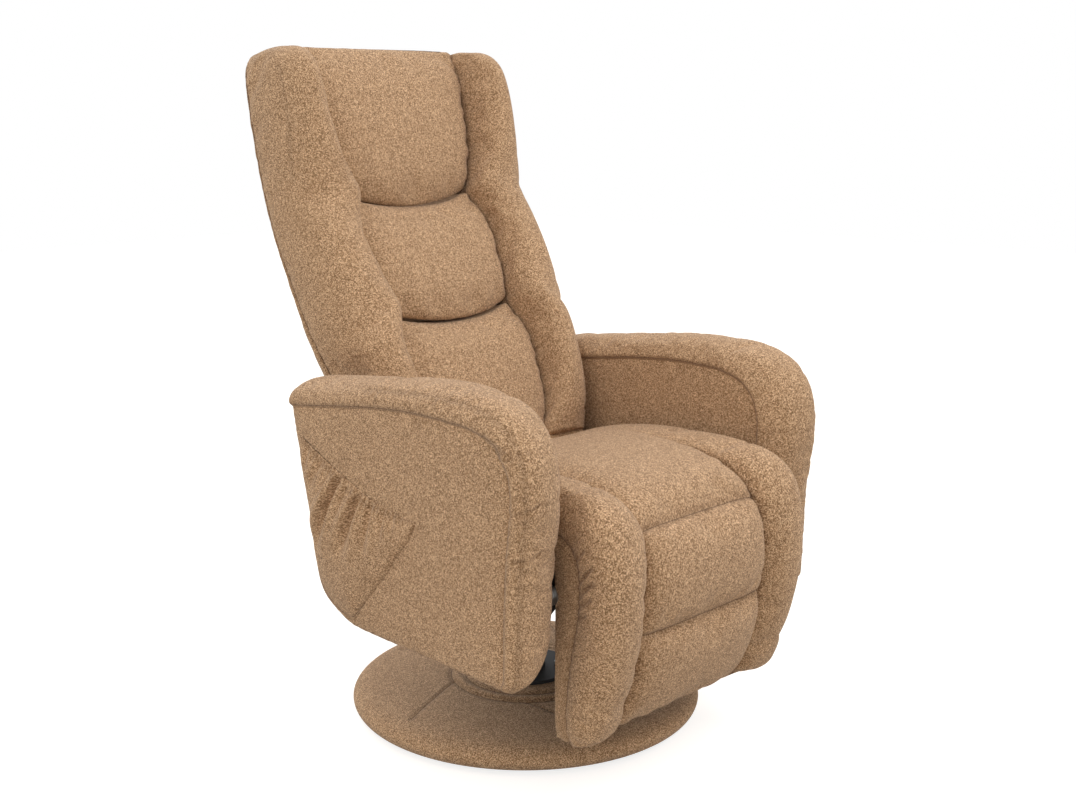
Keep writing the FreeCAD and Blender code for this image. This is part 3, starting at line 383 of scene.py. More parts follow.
# %% A skin over rings
def skin(name, rings, looped=False, flat=None):
    """A closed mesh over rings of points, capped at both ends unless the last ring loops back to
    the first, with cloth coordinates in metres. They are measured over the rings, or for a piece
    cut flat they are given: as two axes of the chair, or as an array."""
    rings = np.asarray(rings)
    m, n = rings.shape[:2]
    faces = []
    for i in range(m if looped else m - 1):
        for j in range(n):
            k, below = (j + 1) % n, (i + 1) % m * n
            faces.append((i * n + j, i * n + k, below + k, below + j))
    for start in () if looped else (0, (m - 1) * n):
        for j in range((n - 1) // 2):
            corners = (j, j + 1, n - 2 - j, n - 1 - j)
            faces.append([start + k for k in sorted(set(corners))])
    mesh = bpy.data.meshes.new(name)
    mesh.from_pydata(rings.reshape(-1, 3).tolist(), [], faces)
    step_u = np.linalg.norm(np.diff(rings, axis=0), axis=2).mean(1)
    step_v = np.linalg.norm(np.diff(rings, axis=1), axis=2).mean(0)
    cloth = np.zeros((m, n, 3), np.float32)
    cloth[1:, :, 0] = np.cumsum(step_u)[:, None]
    cloth[:, 1:, 1] = np.cumsum(step_v)
    if isinstance(flat, tuple):
        flat = rings[..., list(flat)]
    if flat is not None:
        cloth[..., :2] = flat
    mesh.attributes.new("cloth", "FLOAT_VECTOR", "POINT").data.foreach_set("vector", cloth.ravel())
    work = bmesh.new()
    work.from_mesh(mesh)
    bmesh.ops.recalc_face_normals(work, faces=work.faces)
    work.to_mesh(mesh)
    work.free()
    piece = bpy.data.objects.new(name, mesh)
    bpy.context.scene.collection.objects.link(piece)
    piece["grid"] = (m, n)
    return piece


def region(piece, rows=slice(None), columns=slice(None)):
    """A skin's grid of zeros with ones in the given rows and columns."""
    grid = np.zeros(tuple(piece["grid"]))
    grid[rows, columns] = 1
    return grid


def mark(piece, label, rows=(), columns=(), part=1.0):
    """Marks rows and columns of a skin's grid as one seam line."""
    lines = np.maximum(region(piece, list(rows)), region(piece, columns=list(columns))) * part
    piece.data.attributes.new(label, "FLOAT", "POINT").data.foreach_set(
        "value", lines.astype(np.float32).ravel())


print("skins ready")

# %% [markdown]
# ## Reading and refining a mesh
# The sewing below works on all points of a cover at once, so these helpers read them as arrays.
# A cover is made finer before its seams are sewn, because a stitched valley is a few millimetres
# wide.


# %% Reading and refining a mesh
def read(mesh, label, width=1):
    kind = "vector" if width == 3 else "value"
    values = np.zeros(len(mesh.vertices) * width, np.float32)
    mesh.attributes[label].data.foreach_get(kind, values)
    return values.reshape(-1, 3) if width == 3 else values


def points_of(mesh, what="vertices", key="co"):
    values = np.zeros(len(mesh.vertices) * 3, np.float32)
    (mesh.vertices if what == "vertices" else mesh.vertex_normals).foreach_get(key, values)
    return values.reshape(-1, 3).astype(float)


def bake_modifiers(piece):
    """Replaces the mesh by what its modifiers make of it."""
    graph = bpy.context.evaluated_depsgraph_get()
    mesh = bpy.data.meshes.new_from_object(piece.evaluated_get(graph), preserve_all_data_layers=True,
                                           depsgraph=graph)
    piece.modifiers.clear()
    piece.data = mesh


def subdivided(piece, levels=1):
    modifier = piece.modifiers.new("finer", "SUBSURF")
    modifier.levels = modifier.render_levels = levels
    modifier.boundary_smooth = "PRESERVE_CORNERS"
    bake_modifiers(piece)


print("mesh tools ready")

# %% [markdown]
# ## Blown up like a stuffed cover
# Foam swells a cover until its seams hold it back. A cloth simulation does the same: the seams
# are pinned, the cloth is a little larger than its frame, and air pressure pushes it out. A cap on
# how far any point travels keeps each cushion inside its place on the chair.


# %% Blown up like a stuffed cover
def blown(piece, free, swell, spare, cap, frames=20):
    """Runs a pinned cloth under pressure; free is 1 where the cover may move and 0 at its seams."""
    rest = points_of(piece.data)
    held = piece.vertex_groups.new(name="held")
    for index, weight in enumerate(1.0 - np.clip(free, 0, 1)):
        held.add([index], float(weight), "REPLACE")
    cloth = piece.modifiers.new("cloth", "CLOTH")
    cloth.settings.quality = 6
    cloth.settings.mass = 0.25
    cloth.settings.tension_stiffness = cloth.settings.compression_stiffness = 12.0
    cloth.settings.shear_stiffness = 6.0
    cloth.settings.bending_stiffness = 0.35
    cloth.settings.air_damping = 4.0
    cloth.settings.vertex_group_mass = "held"
    cloth.settings.pin_stiffness = 1.0
    cloth.settings.use_pressure = True
    cloth.settings.uniform_pressure_force = swell
    cloth.settings.shrink_min = -spare
    cloth.settings.effector_weights.gravity = 0.0
    cloth.collision_settings.use_collision = False
    for step in range(1, frames + 1):
        bpy.context.scene.frame_set(step)
    bake_modifiers(piece)
    bpy.context.scene.frame_set(1)
    moved = points_of(piece.data) - rest
    far = np.linalg.norm(moved, axis=1)
    moved *= (cap * np.tanh(far / cap) / np.maximum(far, 1e-9))[:, None]
    piece.data.vertices.foreach_set("co", (rest + moved).astype(np.float32).ravel())
    piece.data.update()
    print(piece.name, "swelled by up to", round(float(far.max() * 1000), 1), "mm")


print("cloth ready")

# %% [markdown]
# ## Seams that pull the cloth
# A sewn seam is a small valley, and because its thread is a little shorter than the cloth, the
# cloth beside it puckers. After the skin is final, each point finds its nearest seam point. The
# distance shapes the valley, and the place along the seam shapes the puckers.


# %% Seams that pull the cloth
def ripple(run, seed, shortest=0.012, longest=0.050, waves=7):
    """An uneven wave between about -1 and 1 along a run in metres."""
    draw = np.random.default_rng(seed)
    total = np.zeros_like(run)
    for _ in range(waves):
        length = draw.uniform(shortest, longest)
        total += draw.uniform(0.4, 1.0) * np.sin(run * 2 * math.pi / length + draw.uniform(0, 6.3))
    return total / (0.6 * waves) ** 0.5 / 1.3


# right at the stitches the thread holds this share of the puckers down
HELD_SHARE, HELD_WIDTH = 0.6, 0.004


def sewn(piece, seams, seed):
    """Valleys and puckers along marked seams, and the distances that the finish reads.

    Each seam is (label, valley depth, valley width, pucker height, pucker reach). A sixth number,
    the least distance to report, keeps a flat seam's line faint."""
    mesh = piece.data
    co = points_of(mesh)
    places = co.tolist()
    normal = points_of(mesh, "normals", "vector")
    cloth = read(mesh, "cloth", 3)
    nearest = np.full(len(co), 1.0)
    nearest_run = np.zeros(len(co))
    push = np.zeros(len(co))
    for number, (label, valley, width, pucker, reach, *faint) in enumerate(seams):
        seeds = np.flatnonzero(read(mesh, label) > 0.99)
        tree = KDTree(len(seeds))
        for k in seeds:
            tree.insert(places[k], int(k))
        tree.balance()
        found = [tree.find(p) for p in places]
        gap = np.array([f[2] for f in found])
        at = np.array([f[1] for f in found])
        run = cloth[at, 0] + cloth[at, 1]
        push -= valley * np.exp(-(gap / width) ** 2)
        held = np.exp(-(gap / HELD_WIDTH) ** 2) * HELD_SHARE
        push += pucker * np.exp(-gap / reach) * (1 - held) * ripple(run, seed * 31 + number)
        gap = np.maximum(gap, faint[0] if faint else 0.0)
        closer = gap < nearest
        nearest[closer], nearest_run[closer] = gap[closer], run[closer]
    co += normal * push[:, None]
    mesh.vertices.foreach_set("co", co.astype(np.float32).ravel())
    for label, values in (("seam", nearest), ("seam_run", nearest_run)):
        mesh.attributes.new(label, "FLOAT", "POINT").data.foreach_set(
            "value", values.astype(np.float32))
    mesh.update()


print("seams ready")

# %% [markdown]
# ## Single folds and darts
# Where a cover has to turn a corner, it has cloth to spare, and that lies in short folds. A dart
# takes it in with stitches instead. Both are pressed in along a line that fades out at its ends, and
# a fold's crease is darkened with painted shade.


# %% Single folds and darts
# a fold's two ridges and its valley, as shares of its depth and width
RIDGE_HEIGHT, RIDGE_PLACE, VALLEY_WIDTH = 0.55, 1.6, 0.8
# the least seam distance that a dart and a fold give the finish: the smaller, the darker. A dart's darkens
# its stitched line; a fold's paints shade into its crease.
DART_LINE, FOLD_SHADE_LINE = 0.0006, 0.0009
FOLD_REACH = 0.030


def dented(piece, creases, stitched=False):
    """Single folds: each is (start, end, depth, width), a short line pressed into the cover. The
    line may lie up to three centimetres under the surface. A stitched one, a dart, darkens like a seam;
    an unstitched fold gets painted shade along its crease."""
    mesh = piece.data
    co, normal = points_of(mesh), points_of(mesh, "normals", "vector")
    push = np.zeros(len(co))
    seam = read(mesh, "seam").astype(float)
    for start, end, depth, width in creases:
        a, b = np.array(start), np.array(end)
        share = np.clip((co - a) @ (b - a) / ((b - a) @ (b - a)), 0, 1)
        away = co - a - share[:, None] * (b - a)
        lift = (away * normal).sum(1)
        gap = np.linalg.norm(away - normal * lift[:, None], axis=1)
        gap += np.clip(np.abs(lift) - FOLD_REACH, 0, None) * 10
        taper = np.sin(np.clip(share, 0.02, 0.98) * math.pi) ** 0.5
        ridges = RIDGE_HEIGHT * np.exp(-((gap - width * RIDGE_PLACE) / width) ** 2)
        push += depth * taper * (ridges - np.exp(-(gap / (width * VALLEY_WIDTH)) ** 2))
        # an unstitched fold's crease gets painted shade through the seam distance; a dart's is its
        # stitched line
        seam = np.minimum(seam, gap + (DART_LINE if stitched else FOLD_SHADE_LINE))
    co += normal * push[:, None]
    mesh.vertices.foreach_set("co", co.astype(np.float32).ravel())
    mesh.attributes["seam"].data.foreach_set("value", seam.astype(np.float32))
    mesh.update()


print("folds ready")

# %% [markdown]
# ## Dressing the chair
# A finished cover still needs its cloth, the part that it moves with, and the names of the pads
# that it stands for. Most covers ride on one part. The seat's cover is sewn over two, but it is
# fixed in place and rides on neither.


# %% Dressing the chair
def dressed(piece, replaced, finish=None, body=None, bend=None):
    """Finish, movement and the CAD nodes that a cover stands for."""
    piece.data.materials.clear()
    piece.data.materials.append(finish or cover_cloth)
    piece.data.polygons.foreach_set("use_smooth", [True] * len(piece.data.polygons))
    piece.vertex_groups.clear()
    if bend:
        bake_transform(piece)
    else:
        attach(piece, body)
    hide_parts(*replaced)
    print(piece.name, len(piece.data.vertices), "points")
    return piece


def upholstered(piece, free, swell, spare, cap, seams, seed):
    """Blows a cover up where it is free, makes it finer and sews its seams."""
    blown(piece, free.ravel(), swell, spare, cap)
    subdivided(piece)
    sewn(piece, seams, seed)


def both_sides(rings):
    """The left piece's rings, and the right piece's as their mirror image."""
    flipped = np.array(rings)
    flipped[..., 0] *= -1
    return ("left", rings), ("right", flipped)


print("dressing ready")

# %% [markdown]
# ## Seat and footrest cover
# The seat, the knee and the footrest wear one cover. At the back of the seat it is a single broad
# crown. Towards the knee two stitched channels part it into a centre and two long bolsters, and
# two tucks cut the centre into the seat and the footrest's two pads. Five side views guide it: the
# crown of the centre, the channel, the crown of the bolster, the side seam and the rear edge. The
# hinge lies inside the knee, between the seat and the footrest; the cover is fixed in place and does not
# bend there.

# %% Side views of the seat cover
KNEE_BEND = ("chassis", "footrest", (0, -0.255, 0.445), (0, -0.355, 0.335))
# bolster crown, centre crown, channel, side seam and rear edge as y, z; then channel x, outer x
SEAT_ROWS = (
    (0.075, 0.402, 0.075, 0.400, 0.072, 0.396, 0.068, 0.378, 0.060, 0.362, 0.140, 0.221),
    (0.045, 0.422, 0.045, 0.420, 0.044, 0.419, 0.045, 0.388, 0.045, 0.354, 0.140, 0.223),
    (0.000, 0.438, 0.000, 0.438, 0.000, 0.437, 0.000, 0.392, 0.000, 0.354, 0.140, 0.224),
    (-0.060, 0.451, -0.060, 0.452, -0.060, 0.4505, -0.060, 0.398, -0.055, 0.354, 0.140, 0.225),
    (-0.125, 0.459, -0.120, 0.459, -0.120, 0.4575, -0.125, 0.403, -0.115, 0.354, 0.140, 0.225),
    (-0.180, 0.462, -0.175, 0.462, -0.175, 0.458, -0.180, 0.406, -0.165, 0.354, 0.140, 0.225),
    (-0.232, 0.463, -0.225, 0.461, -0.225, 0.451, -0.230, 0.408, -0.210, 0.354, 0.1395, 0.2245),
    (-0.280, 0.461, -0.270, 0.456, -0.270, 0.4425, -0.274, 0.404, -0.240, 0.352, 0.1385, 0.2235),
    (-0.321, 0.456, -0.308, 0.446, -0.306, 0.430, -0.299, 0.3925, -0.258, 0.350, 0.1375, 0.2225),
    (-0.351, 0.443, -0.340, 0.431, -0.333, 0.415, -0.3125, 0.376, -0.266, 0.347, 0.136, 0.222),
    (-0.375, 0.419, -0.363, 0.410, -0.351, 0.396, -0.3195, 0.358, -0.2700, 0.341, 0.136, 0.222),
    (-0.387, 0.387, -0.380, 0.381, -0.361, 0.372, -0.321, 0.340, -0.2706, 0.330, 0.137, 0.222),
    (-0.392, 0.352, -0.389, 0.349, -0.365, 0.345, -0.321, 0.322, -0.2708, 0.316, 0.139, 0.2215),
    (-0.393, 0.318, -0.391, 0.318, -0.365, 0.316, -0.320, 0.303, -0.2708, 0.300, 0.141, 0.221),
    (-0.391, 0.285, -0.388, 0.287, -0.364, 0.286, -0.3165, 0.280, -0.2708, 0.278, 0.142, 0.2205),
    (-0.387, 0.253, -0.385, 0.255, -0.361, 0.253, -0.310, 0.250, -0.2708, 0.248, 0.142, 0.2205),
    (-0.380, 0.221, -0.382, 0.225, -0.356, 0.222, -0.3035, 0.217, -0.2708, 0.215, 0.143, 0.220),
    (-0.372, 0.190, -0.376, 0.192, -0.348, 0.190, -0.2985, 0.184, -0.2708, 0.184, 0.143, 0.220),
    (-0.361, 0.159, -0.365, 0.160, -0.336, 0.158, -0.2955, 0.153, -0.2708, 0.156, 0.143, 0.2195),
    (-0.353, 0.132, -0.351, 0.132, -0.327, 0.132, -0.295, 0.132, -0.2709, 0.131, 0.143, 0.2195),
    (-0.344, 0.111, -0.337, 0.111, -0.318, 0.112, -0.2965, 0.114, -0.2715, 0.111, 0.145, 0.2185),
    (-0.329, 0.097, -0.319, 0.099, -0.309, 0.101, -0.3000, 0.100, -0.2755, 0.0985, 0.150, 0.2165),
    (-0.311, 0.091, -0.302, 0.093, -0.299, 0.094, -0.2975, 0.0925, -0.2840, 0.0925, 0.157, 0.213),
)
SEAT_COUNT = 148
seat_lines = through(SEAT_ROWS, SEAT_COUNT)
seat_run = np.concatenate([[0], np.cumsum(np.linalg.norm(np.diff(seat_lines[:, :2], axis=0), axis=1))])


def row_near(lines, column, place):
    """The row whose point in the named pair of columns is nearest to a side-view place."""
    return int(np.argmin(np.linalg.norm(lines[:, column:column + 2] - np.array(place), axis=1)))


FIRST_TUCK = row_near(seat_lines, 2, (-0.363, 0.410))
SECOND_TUCK = row_near(seat_lines, 2, (-0.385, 0.255))
CHANNEL_START = row_near(seat_lines, 4, (-0.190, 0.457))
print("tucks at rows", FIRST_TUCK, SECOND_TUCK, "channels from row", CHANNEL_START)

# %% [markdown]
# A tuck pulls the crown of the centre in to a line. On both sides of that line the foam rounds
# off like a quarter circle, which is what makes the pads look stuffed.

# %% The seat cover's skin
# short folds that run up from the side seams just below the knee: x, start, end and depth
KNEE_WRINKLES = ((0.227, (-0.3215, 0.341), (-0.353, 0.370), 0.0052),
                 (0.227, (-0.3220, 0.325), (-0.357, 0.349), 0.0046),
                 (0.228, (-0.3200, 0.306), (-0.349, 0.324), 0.0042),
                 (0.226, (-0.3190, 0.288), (-0.338, 0.299), 0.0028),
                 (0.225, (-0.3150, 0.370), (-0.337, 0.391), 0.0032))
REAR_STEPS, QUARTER, CENTRE, UNDER = 5, 12, 35, 32
BOW = 2 / 2.35
BULGE = 0.012
# where a bolster's crest lies across it, and its shoulder down its side, as shares
CREST, SHOULDER = 0.64, 0.52


def tucked(row, before, after):
    """1 at a tuck's row and 0 beyond the rounding on each side of it."""
    gap = seat_run - seat_run[row]
    share = np.clip(np.abs(gap) / np.where(gap < 0, before, after), 0, 1)
    return 1 - np.sqrt(1 - (1 - share) ** 2)


first = np.array([0.013, -0.0085]) * tucked(FIRST_TUCK, 0.034, 0.024)[:, None]
second = np.array([0.0135, 0.0]) * tucked(SECOND_TUCK, 0.024, 0.024)[:, None]
centre_crown = seat_lines[:, 2:4] + first + second


def pillow(t, flat):
    """Height share of a stuffed pad at -1..1 across it; a larger flat gives squarer shoulders."""
    return np.sqrt(np.clip(1 - np.abs(t) ** flat, 0, 1))


def seat_ring(line, crown):
    bolster, channel, seam, rear = line[0:2], line[4:6], line[6:8], line[8:10]
    channel_x, outer_x = line[10:12]
    crest_x = channel_x + CREST * (outer_x - channel_x)
    shoulder = bolster + (seam - bolster) * SHOULDER
    turn = np.linspace(0, math.pi / 2, QUARTER)
    s, c = np.sin(turn) ** BOW, np.cos(turn) ** BOW
    down = np.linspace(0, 1, REAR_STEPS + 1)[1:]
    rise = (channel_x + (crest_x - channel_x) * (1 - np.cos(turn)),
            channel + (bolster - channel) * np.sin(turn)[:, None])
    bulge = BULGE * growth(bolster[0], -0.300, 0.060)
    fall = (crest_x + (outer_x + bulge - crest_x) * s[1:],
            bolster + (shoulder - bolster) * (1 - c[1:, None]))
    upper = (outer_x - 0.001 + (bulge + 0.001) * (1 - down ** 2),
             shoulder + (seam - shoulder) * down[:, None])
    lower = (outer_x - 0.001 - 0.001 * down ** 4 + 0.0015 * np.sin(down * math.pi),
             seam + (rear - seam) * down[:, None])
    half = np.vstack([np.column_stack(part) for part in (rise, fall, upper, lower)])
    turn = np.linspace(math.pi, 0, CENTRE)[1:-1]
    t = squarer(turn, 0.80)
    middle = np.column_stack([channel_x * t, channel + (crown - channel) * pillow(t, 3.6)[:, None]])
    flipped = half[::-1] * np.array([-1, 1, 1])
    x_under = np.linspace(half[-1, 0], -half[-1, 0], UNDER)[1:-1]
    under = np.column_stack([x_under, np.broadcast_to(rear, (len(x_under), 2))])
    return np.vstack([flipped, middle, half, under])


seat_rings = np.array([seat_ring(*pair) for pair in zip(seat_lines, centre_crown)])
HALF_STEPS = 2 * QUARTER - 1 + 2 * REAR_STEPS
CHANNELS = (HALF_STEPS - 1, HALF_STEPS + CENTRE - 2)
SIDE_SEAMS = (REAR_STEPS, 2 * HALF_STEPS + CENTRE - 3 - REAR_STEPS)
piece = skin("seat_and_footrest_cover", seat_rings)
centre = slice(CHANNELS[0], CHANNELS[1] + 1)
beyond_knee = slice(row_near(seat_lines, 6, (-0.272, 0.406)), None)
mark(piece, "channels", columns=CHANNELS, part=region(piece, slice(CHANNEL_START, None)))
mark(piece, "side_seams", columns=SIDE_SEAMS, part=region(piece, beyond_knee))
mark(piece, "tucks", rows=[FIRST_TUCK, SECOND_TUCK], part=region(piece, columns=centre))
free = region(piece, slice(4, -4), slice(SIDE_SEAMS[0] + 1, SIDE_SEAMS[1]))
free[CHANNEL_START - 6:, list(CHANNELS)] = 0
free[[FIRST_TUCK, SECOND_TUCK], centre] = 0
upholstered(piece, free, 2.5, 0.03, 0.006, [("channels", 0.0016, 0.004, 0.0014, 0.016),
                                            ("tucks", 0.0014, 0.004, 0.0008, 0.014),
                                            ("side_seams", 0.0016, 0.003, 0.0012, 0.016)], 11)
dented(piece, [((side * x, *a), (side * x, *b), depth, 0.0032) for side in (-1, 1)
               for x, a, b, depth in KNEE_WRINKLES])
dressed(piece, ["seat_cushion", "seat_bolster_left", "seat_bolster_right", "knee_pad",
                "footrest_bolster_left", "footrest_bolster_right", "upper_leg_pad",
                "lower_leg_pad"], bend=KNEE_BEND)

# %% [markdown]
# ## The backrest's line
# All the pads of the backrest are drawn around one line, the bent board behind them: it leans back
# from the hinge and turns more upright behind the head. A place on a pad is a distance up that
# line, a distance across, and an offset in front of the board.

# %% The backrest's line
HINGE = np.array([0.095, 0.385])
LOW_LEAN, HIGH_LEAN = math.radians(29.0), math.radians(16.5)
BEND_START, BEND_LENGTH, BACK_LENGTH = 0.400, 0.150, 0.745
# the covers begin this far in front of and behind the middle of the board
BOARD_FACE = 0.008


def back_point(x, up, front):
    """Place in the chair for arrays of x, distance up the board line and offset to the front."""
    x, up, front = np.broadcast_arrays(x, up, front)
    bend = np.clip((up - BEND_START) / BEND_LENGTH, 0, 1)
    lean = LOW_LEAN + (HIGH_LEAN - LOW_LEAN) * bend
    radius = BEND_LENGTH / (LOW_LEAN - HIGH_LEAN)
    straight = np.minimum(up, BEND_START)
    past = np.maximum(0, up - BEND_START - BEND_LENGTH)
    y = HINGE[0] + straight * math.sin(LOW_LEAN) + radius * (np.cos(lean) - math.cos(LOW_LEAN))
    z = HINGE[1] + straight * math.cos(LOW_LEAN) + radius * (math.sin(LOW_LEAN) - np.sin(lean))
    y = y + past * np.sin(lean) - front * np.cos(lean)
    z = z + past * np.cos(lean) + front * np.sin(lean)
    return np.stack([x, y, z], axis=-1)


PANEL_HALF = ((0.0, 0.101), (0.034, 0.109), (0.067, 0.127), (0.112, 0.141), (0.200, 0.151),
              (0.250, 0.140), (0.276, 0.136), (0.365, 0.151), (0.425, 0.151), (0.480, 0.134),
              (0.520, 0.146), (0.580, 0.162), (0.700, 0.176), (0.760, 0.176))
panel_line = through(PANEL_HALF, 200)


def panel_half(up):
    return np.interp(up, panel_line[:, 0], panel_line[:, 1])


print("top of the board line", back_point(0.0, BACK_LENGTH, 0.0))

# %% [markdown]
# ## Three back cushions
# The seams between the cushions hang down in the middle like a smile, so the rows of a cushion
# bend with them. Each cushion is a pillow both ways: the product of two rounded profiles.

# %% Three back cushions
WALL_STEPS, CROWN_STEPS = 5, 13
# the fullness of a cushion: its share at the sides, and what its middle adds
SIDE_FULLNESS, MIDDLE_FULLNESS = 0.32, 0.68
SEAM_DIP, HEAD_DIP = 0.027, 0.029
MIDDLE_SEAM, HEAD_SEAM = 0.247, 0.463
BACK_SPAN = 37


def back_cushion(name, low, high, low_dip, high_dip, crown, base, count, replaced, seed):
    q = np.linspace(0, 1, count)[:, None]
    turn = np.linspace(math.pi, 0, BACK_SPAN)
    t = squarer(turn, 0.85)
    wall_t = np.linspace(0, 1, WALL_STEPS, endpoint=False)
    under_t = np.linspace(0, 1, 20)[1:-1]
    across = np.concatenate([np.full(WALL_STEPS, -1.0), t, np.full(WALL_STEPS, 1.0),
                             1 - 2 * under_t])
    level = np.concatenate([wall_t, np.ones(BACK_SPAN), wall_t[::-1], np.zeros(len(under_t))])
    start = low + low_dip * across ** 2
    end = high + high_dip * across ** 2
    up = start + (end - start) * q
    x = panel_half(up) * across
    middle = np.interp(q[:, 0], *np.array(crown).T)[:, None]
    full = SIDE_FULLNESS + MIDDLE_FULLNESS * pillow(across, 3.2)
    top = base + (middle - base) * full * pillow(2 * q - 1, 4.0)
    front = BOARD_FACE + (top - BOARD_FACE) * level
    piece = skin(name, back_point(x, up, front))
    left, right = WALL_STEPS, WALL_STEPS + BACK_SPAN - 1
    mark(piece, "edges", columns=[left, right])
    mark(piece, "tucks", rows=[0, count - 1], part=region(piece, columns=slice(left, right + 1)))
    free = region(piece, slice(2, -2), slice(left + 1, right))
    upholstered(piece, free, 2.0, 0.03, 0.006, [("edges", 0.0015, 0.004, 0.0013, 0.014),
                                                ("tucks", 0.001, 0.004, 0.0010, 0.014)], seed)
    dressed(piece, replaced, body="back")


back_cushion("lumbar_cover", 0.010, MIDDLE_SEAM, 0.0, SEAM_DIP,
             ((0, 0.066), (0.5, 0.076), (1, 0.078)), 0.050, 36, ["lumbar_cushion"], 31)
back_cushion("middle_cover", MIDDLE_SEAM, HEAD_SEAM, SEAM_DIP, HEAD_DIP,
             ((0, 0.078), (0.5, 0.079), (1, 0.074)), 0.050, 32, ["middle_cushion"], 32)
back_cushion("head_cover", HEAD_SEAM, 0.752, HEAD_DIP, 0.0,
             ((0, 0.076), (0.5, 0.074), (1, 0.060)), 0.040, 40, ["head_cushion"], 33)

# %% [markdown]
# ## Wings
# The side rolls of the backrest run from the crease to rounded ears at the top. Their front seam
# is the edge of the centre column. From the crown they turn over onto a broad flat side.

# %% Wings
WING_OUTER = ((0.0, 0.224), (0.090, 0.2295), (0.186, 0.234), (0.253, 0.243), (0.313, 0.248),
              (0.450, 0.248), (0.560, 0.2465), (0.630, 0.244), (0.680, 0.2405), (0.710, 0.237),
              (0.732, 0.230), (0.747, 0.218), (0.756, 0.200))
wing_outer_line = through(WING_OUTER, 120)
# distance up, crown offset, seam offset
WING_ROWS = ((0.020, 0.070, 0.040), (0.090, 0.102, 0.046), (0.186, 0.118, 0.050),
             (0.335, 0.120, 0.050), (0.450, 0.116, 0.046), (0.520, 0.120, 0.045),
             (0.580, 0.126, 0.044), (0.640, 0.130, 0.042), (0.688, 0.127, 0.038),
             (0.716, 0.112, 0.032), (0.733, 0.088, 0.025), (0.745, 0.056, 0.018))

# a dart from the ear down the side, as up and front; then folds as x, start, end and depth
WING_DART = ((0.706, 0.086), (0.690, 0.0905), (0.614, 0.0895), (0.520, 0.072))
WING_WRINKLES = {
    "right": ((0.245, (0.219, 0.066), (0.213, 0.098), 0.0028),
              (0.245, (0.204, 0.062), (0.197, 0.105), 0.0030),
              (0.245, (0.186, 0.058), (0.173, 0.107), 0.0026)),
    "left": ((0.200, (0.499, 0.052), (0.466, 0.122), 0.0030),
             (0.165, (0.482, 0.070), (0.497, 0.118), 0.0026),
             (0.190, (0.291, 0.085), (0.290, 0.122), 0.0026))}


# crest across the wing, shoulder down its side, and how square its front edge is
WING_CREST, WING_SHOULDER, WING_SQUARE = 0.40, 0.25, 2 / 3


def wing_rings(count):
    rings = []
    for up, crown, seam in through(WING_ROWS, count):
        inner, outer = panel_half(up), np.interp(up, *wing_outer_line.T)
        crest = inner + WING_CREST * (outer - inner)
        wall = np.linspace(BOARD_FACE, seam, WALL_STEPS, endpoint=False)
        turn = np.linspace(0, math.pi / 2, CROWN_STEPS)
        shoulder = crown * WING_SHOULDER
        x = np.concatenate([np.full(WALL_STEPS, inner),
                            crest - (crest - inner) * np.cos(turn) ** WING_SQUARE,
                            crest + (outer - crest) * np.sin(turn[1:])])
        front = np.concatenate([wall, seam + (crown - seam) * np.sin(turn) ** WING_SQUARE,
                                shoulder + (crown - shoulder) * np.cos(turn[1:])])
        side = np.linspace(shoulder, -BOARD_FACE, 8)[1:]
        under = np.linspace(0, 1, 10)[1:-1]
        x = np.concatenate([x, outer + 0.001 * np.sin(np.linspace(0, math.pi, 7)),
                            outer + (inner - outer) * under])
        front = np.concatenate([front, side, -BOARD_FACE + 2 * BOARD_FACE * under])
        rings.append(back_point(x, up, front))
    return np.array(rings)


WING_SIDE = WALL_STEPS + 2 * CROWN_STEPS - 1 + 6
wing_left = rounded_end(wing_rings(100), False, 0.004)
for side, rings in both_sides(wing_left):
    sign, seed = (1, 41) if side == "left" else (-1, 42)
    piece = skin("wing_roll_" + side, rings)
    mark(piece, "front_seam", columns=[WALL_STEPS])
    mark(piece, "rear_seam", columns=[WING_SIDE])
    free = region(piece, slice(3, -8), slice(WALL_STEPS + 1, WING_SIDE))
    upholstered(piece, free, 2.0, 0.03, 0.005, [("front_seam", 0.0015, 0.004, 0.0014, 0.018),
                                                ("rear_seam", 0.0010, 0.003, 0.0006, 0.010)], seed)
    folds = [(back_point(sign * x, *a), back_point(sign * x, *b), depth, 0.0055)
             for x, a, b, depth in WING_WRINKLES[side]]
    dented(piece, folds)
    dart = back_point(sign * 0.249, *np.array(WING_DART).T)
    dented(piece, [(a, b, 0.0005, 0.003) for a, b in zip(dart, dart[1:])], stitched=True)
    dressed(piece, ["back_wing_" + side], body="back")

# %% [markdown]
# ## Rear cover
# The rear of the backrest is one padded panel, fuller low down. It closes in at the top, behind
# the ears of the wings.

# %% Rear cover
REAR_ROWS = ((0.006, 0.030), (0.031, 0.052), (0.089, 0.071), (0.164, 0.083), (0.268, 0.073),
             (0.372, 0.054), (0.484, 0.038), (0.611, 0.029), (0.700, 0.023), (0.742, 0.018),
             (0.753, 0.012))
REAR_SPAN = 45


def rear_rings(count):
    rings = []
    for up, depth in through(REAR_ROWS, count):
        outer = np.interp(up, *wing_outer_line.T) - 0.0005
        turn = np.linspace(math.pi, 0, REAR_SPAN)
        x = outer * squarer(turn, 0.74)
        front = -BOARD_FACE - (depth - BOARD_FACE) * np.sin(turn) ** 0.74
        inside = np.linspace(1, -1, 32)[1:-1]
        rings.append(back_point(np.concatenate([x, outer * inside]), up,
                                np.concatenate([front, np.full_like(inside, -0.004)])))
    return np.array(rings)


piece = skin("rear_panel", rounded_end(rear_rings(76), False, 0.003))
mark(piece, "edges", columns=[0, REAR_SPAN - 1])
upholstered(piece, region(piece, slice(3, -8), slice(2, REAR_SPAN - 2)), 1.0, 0.02, 0.004,
            [("edges", 0.001, 0.003, 0.0006, 0.012)], 51)
dressed(piece, ["rear_cover"], body="back")

# %% [markdown]
# ## The roll in the crease
# Below the board a round nose carries the cover into the crease behind the seat, and turns there
# when the back reclines. It is a plain roll around the hinge, so it looks the same at any angle.

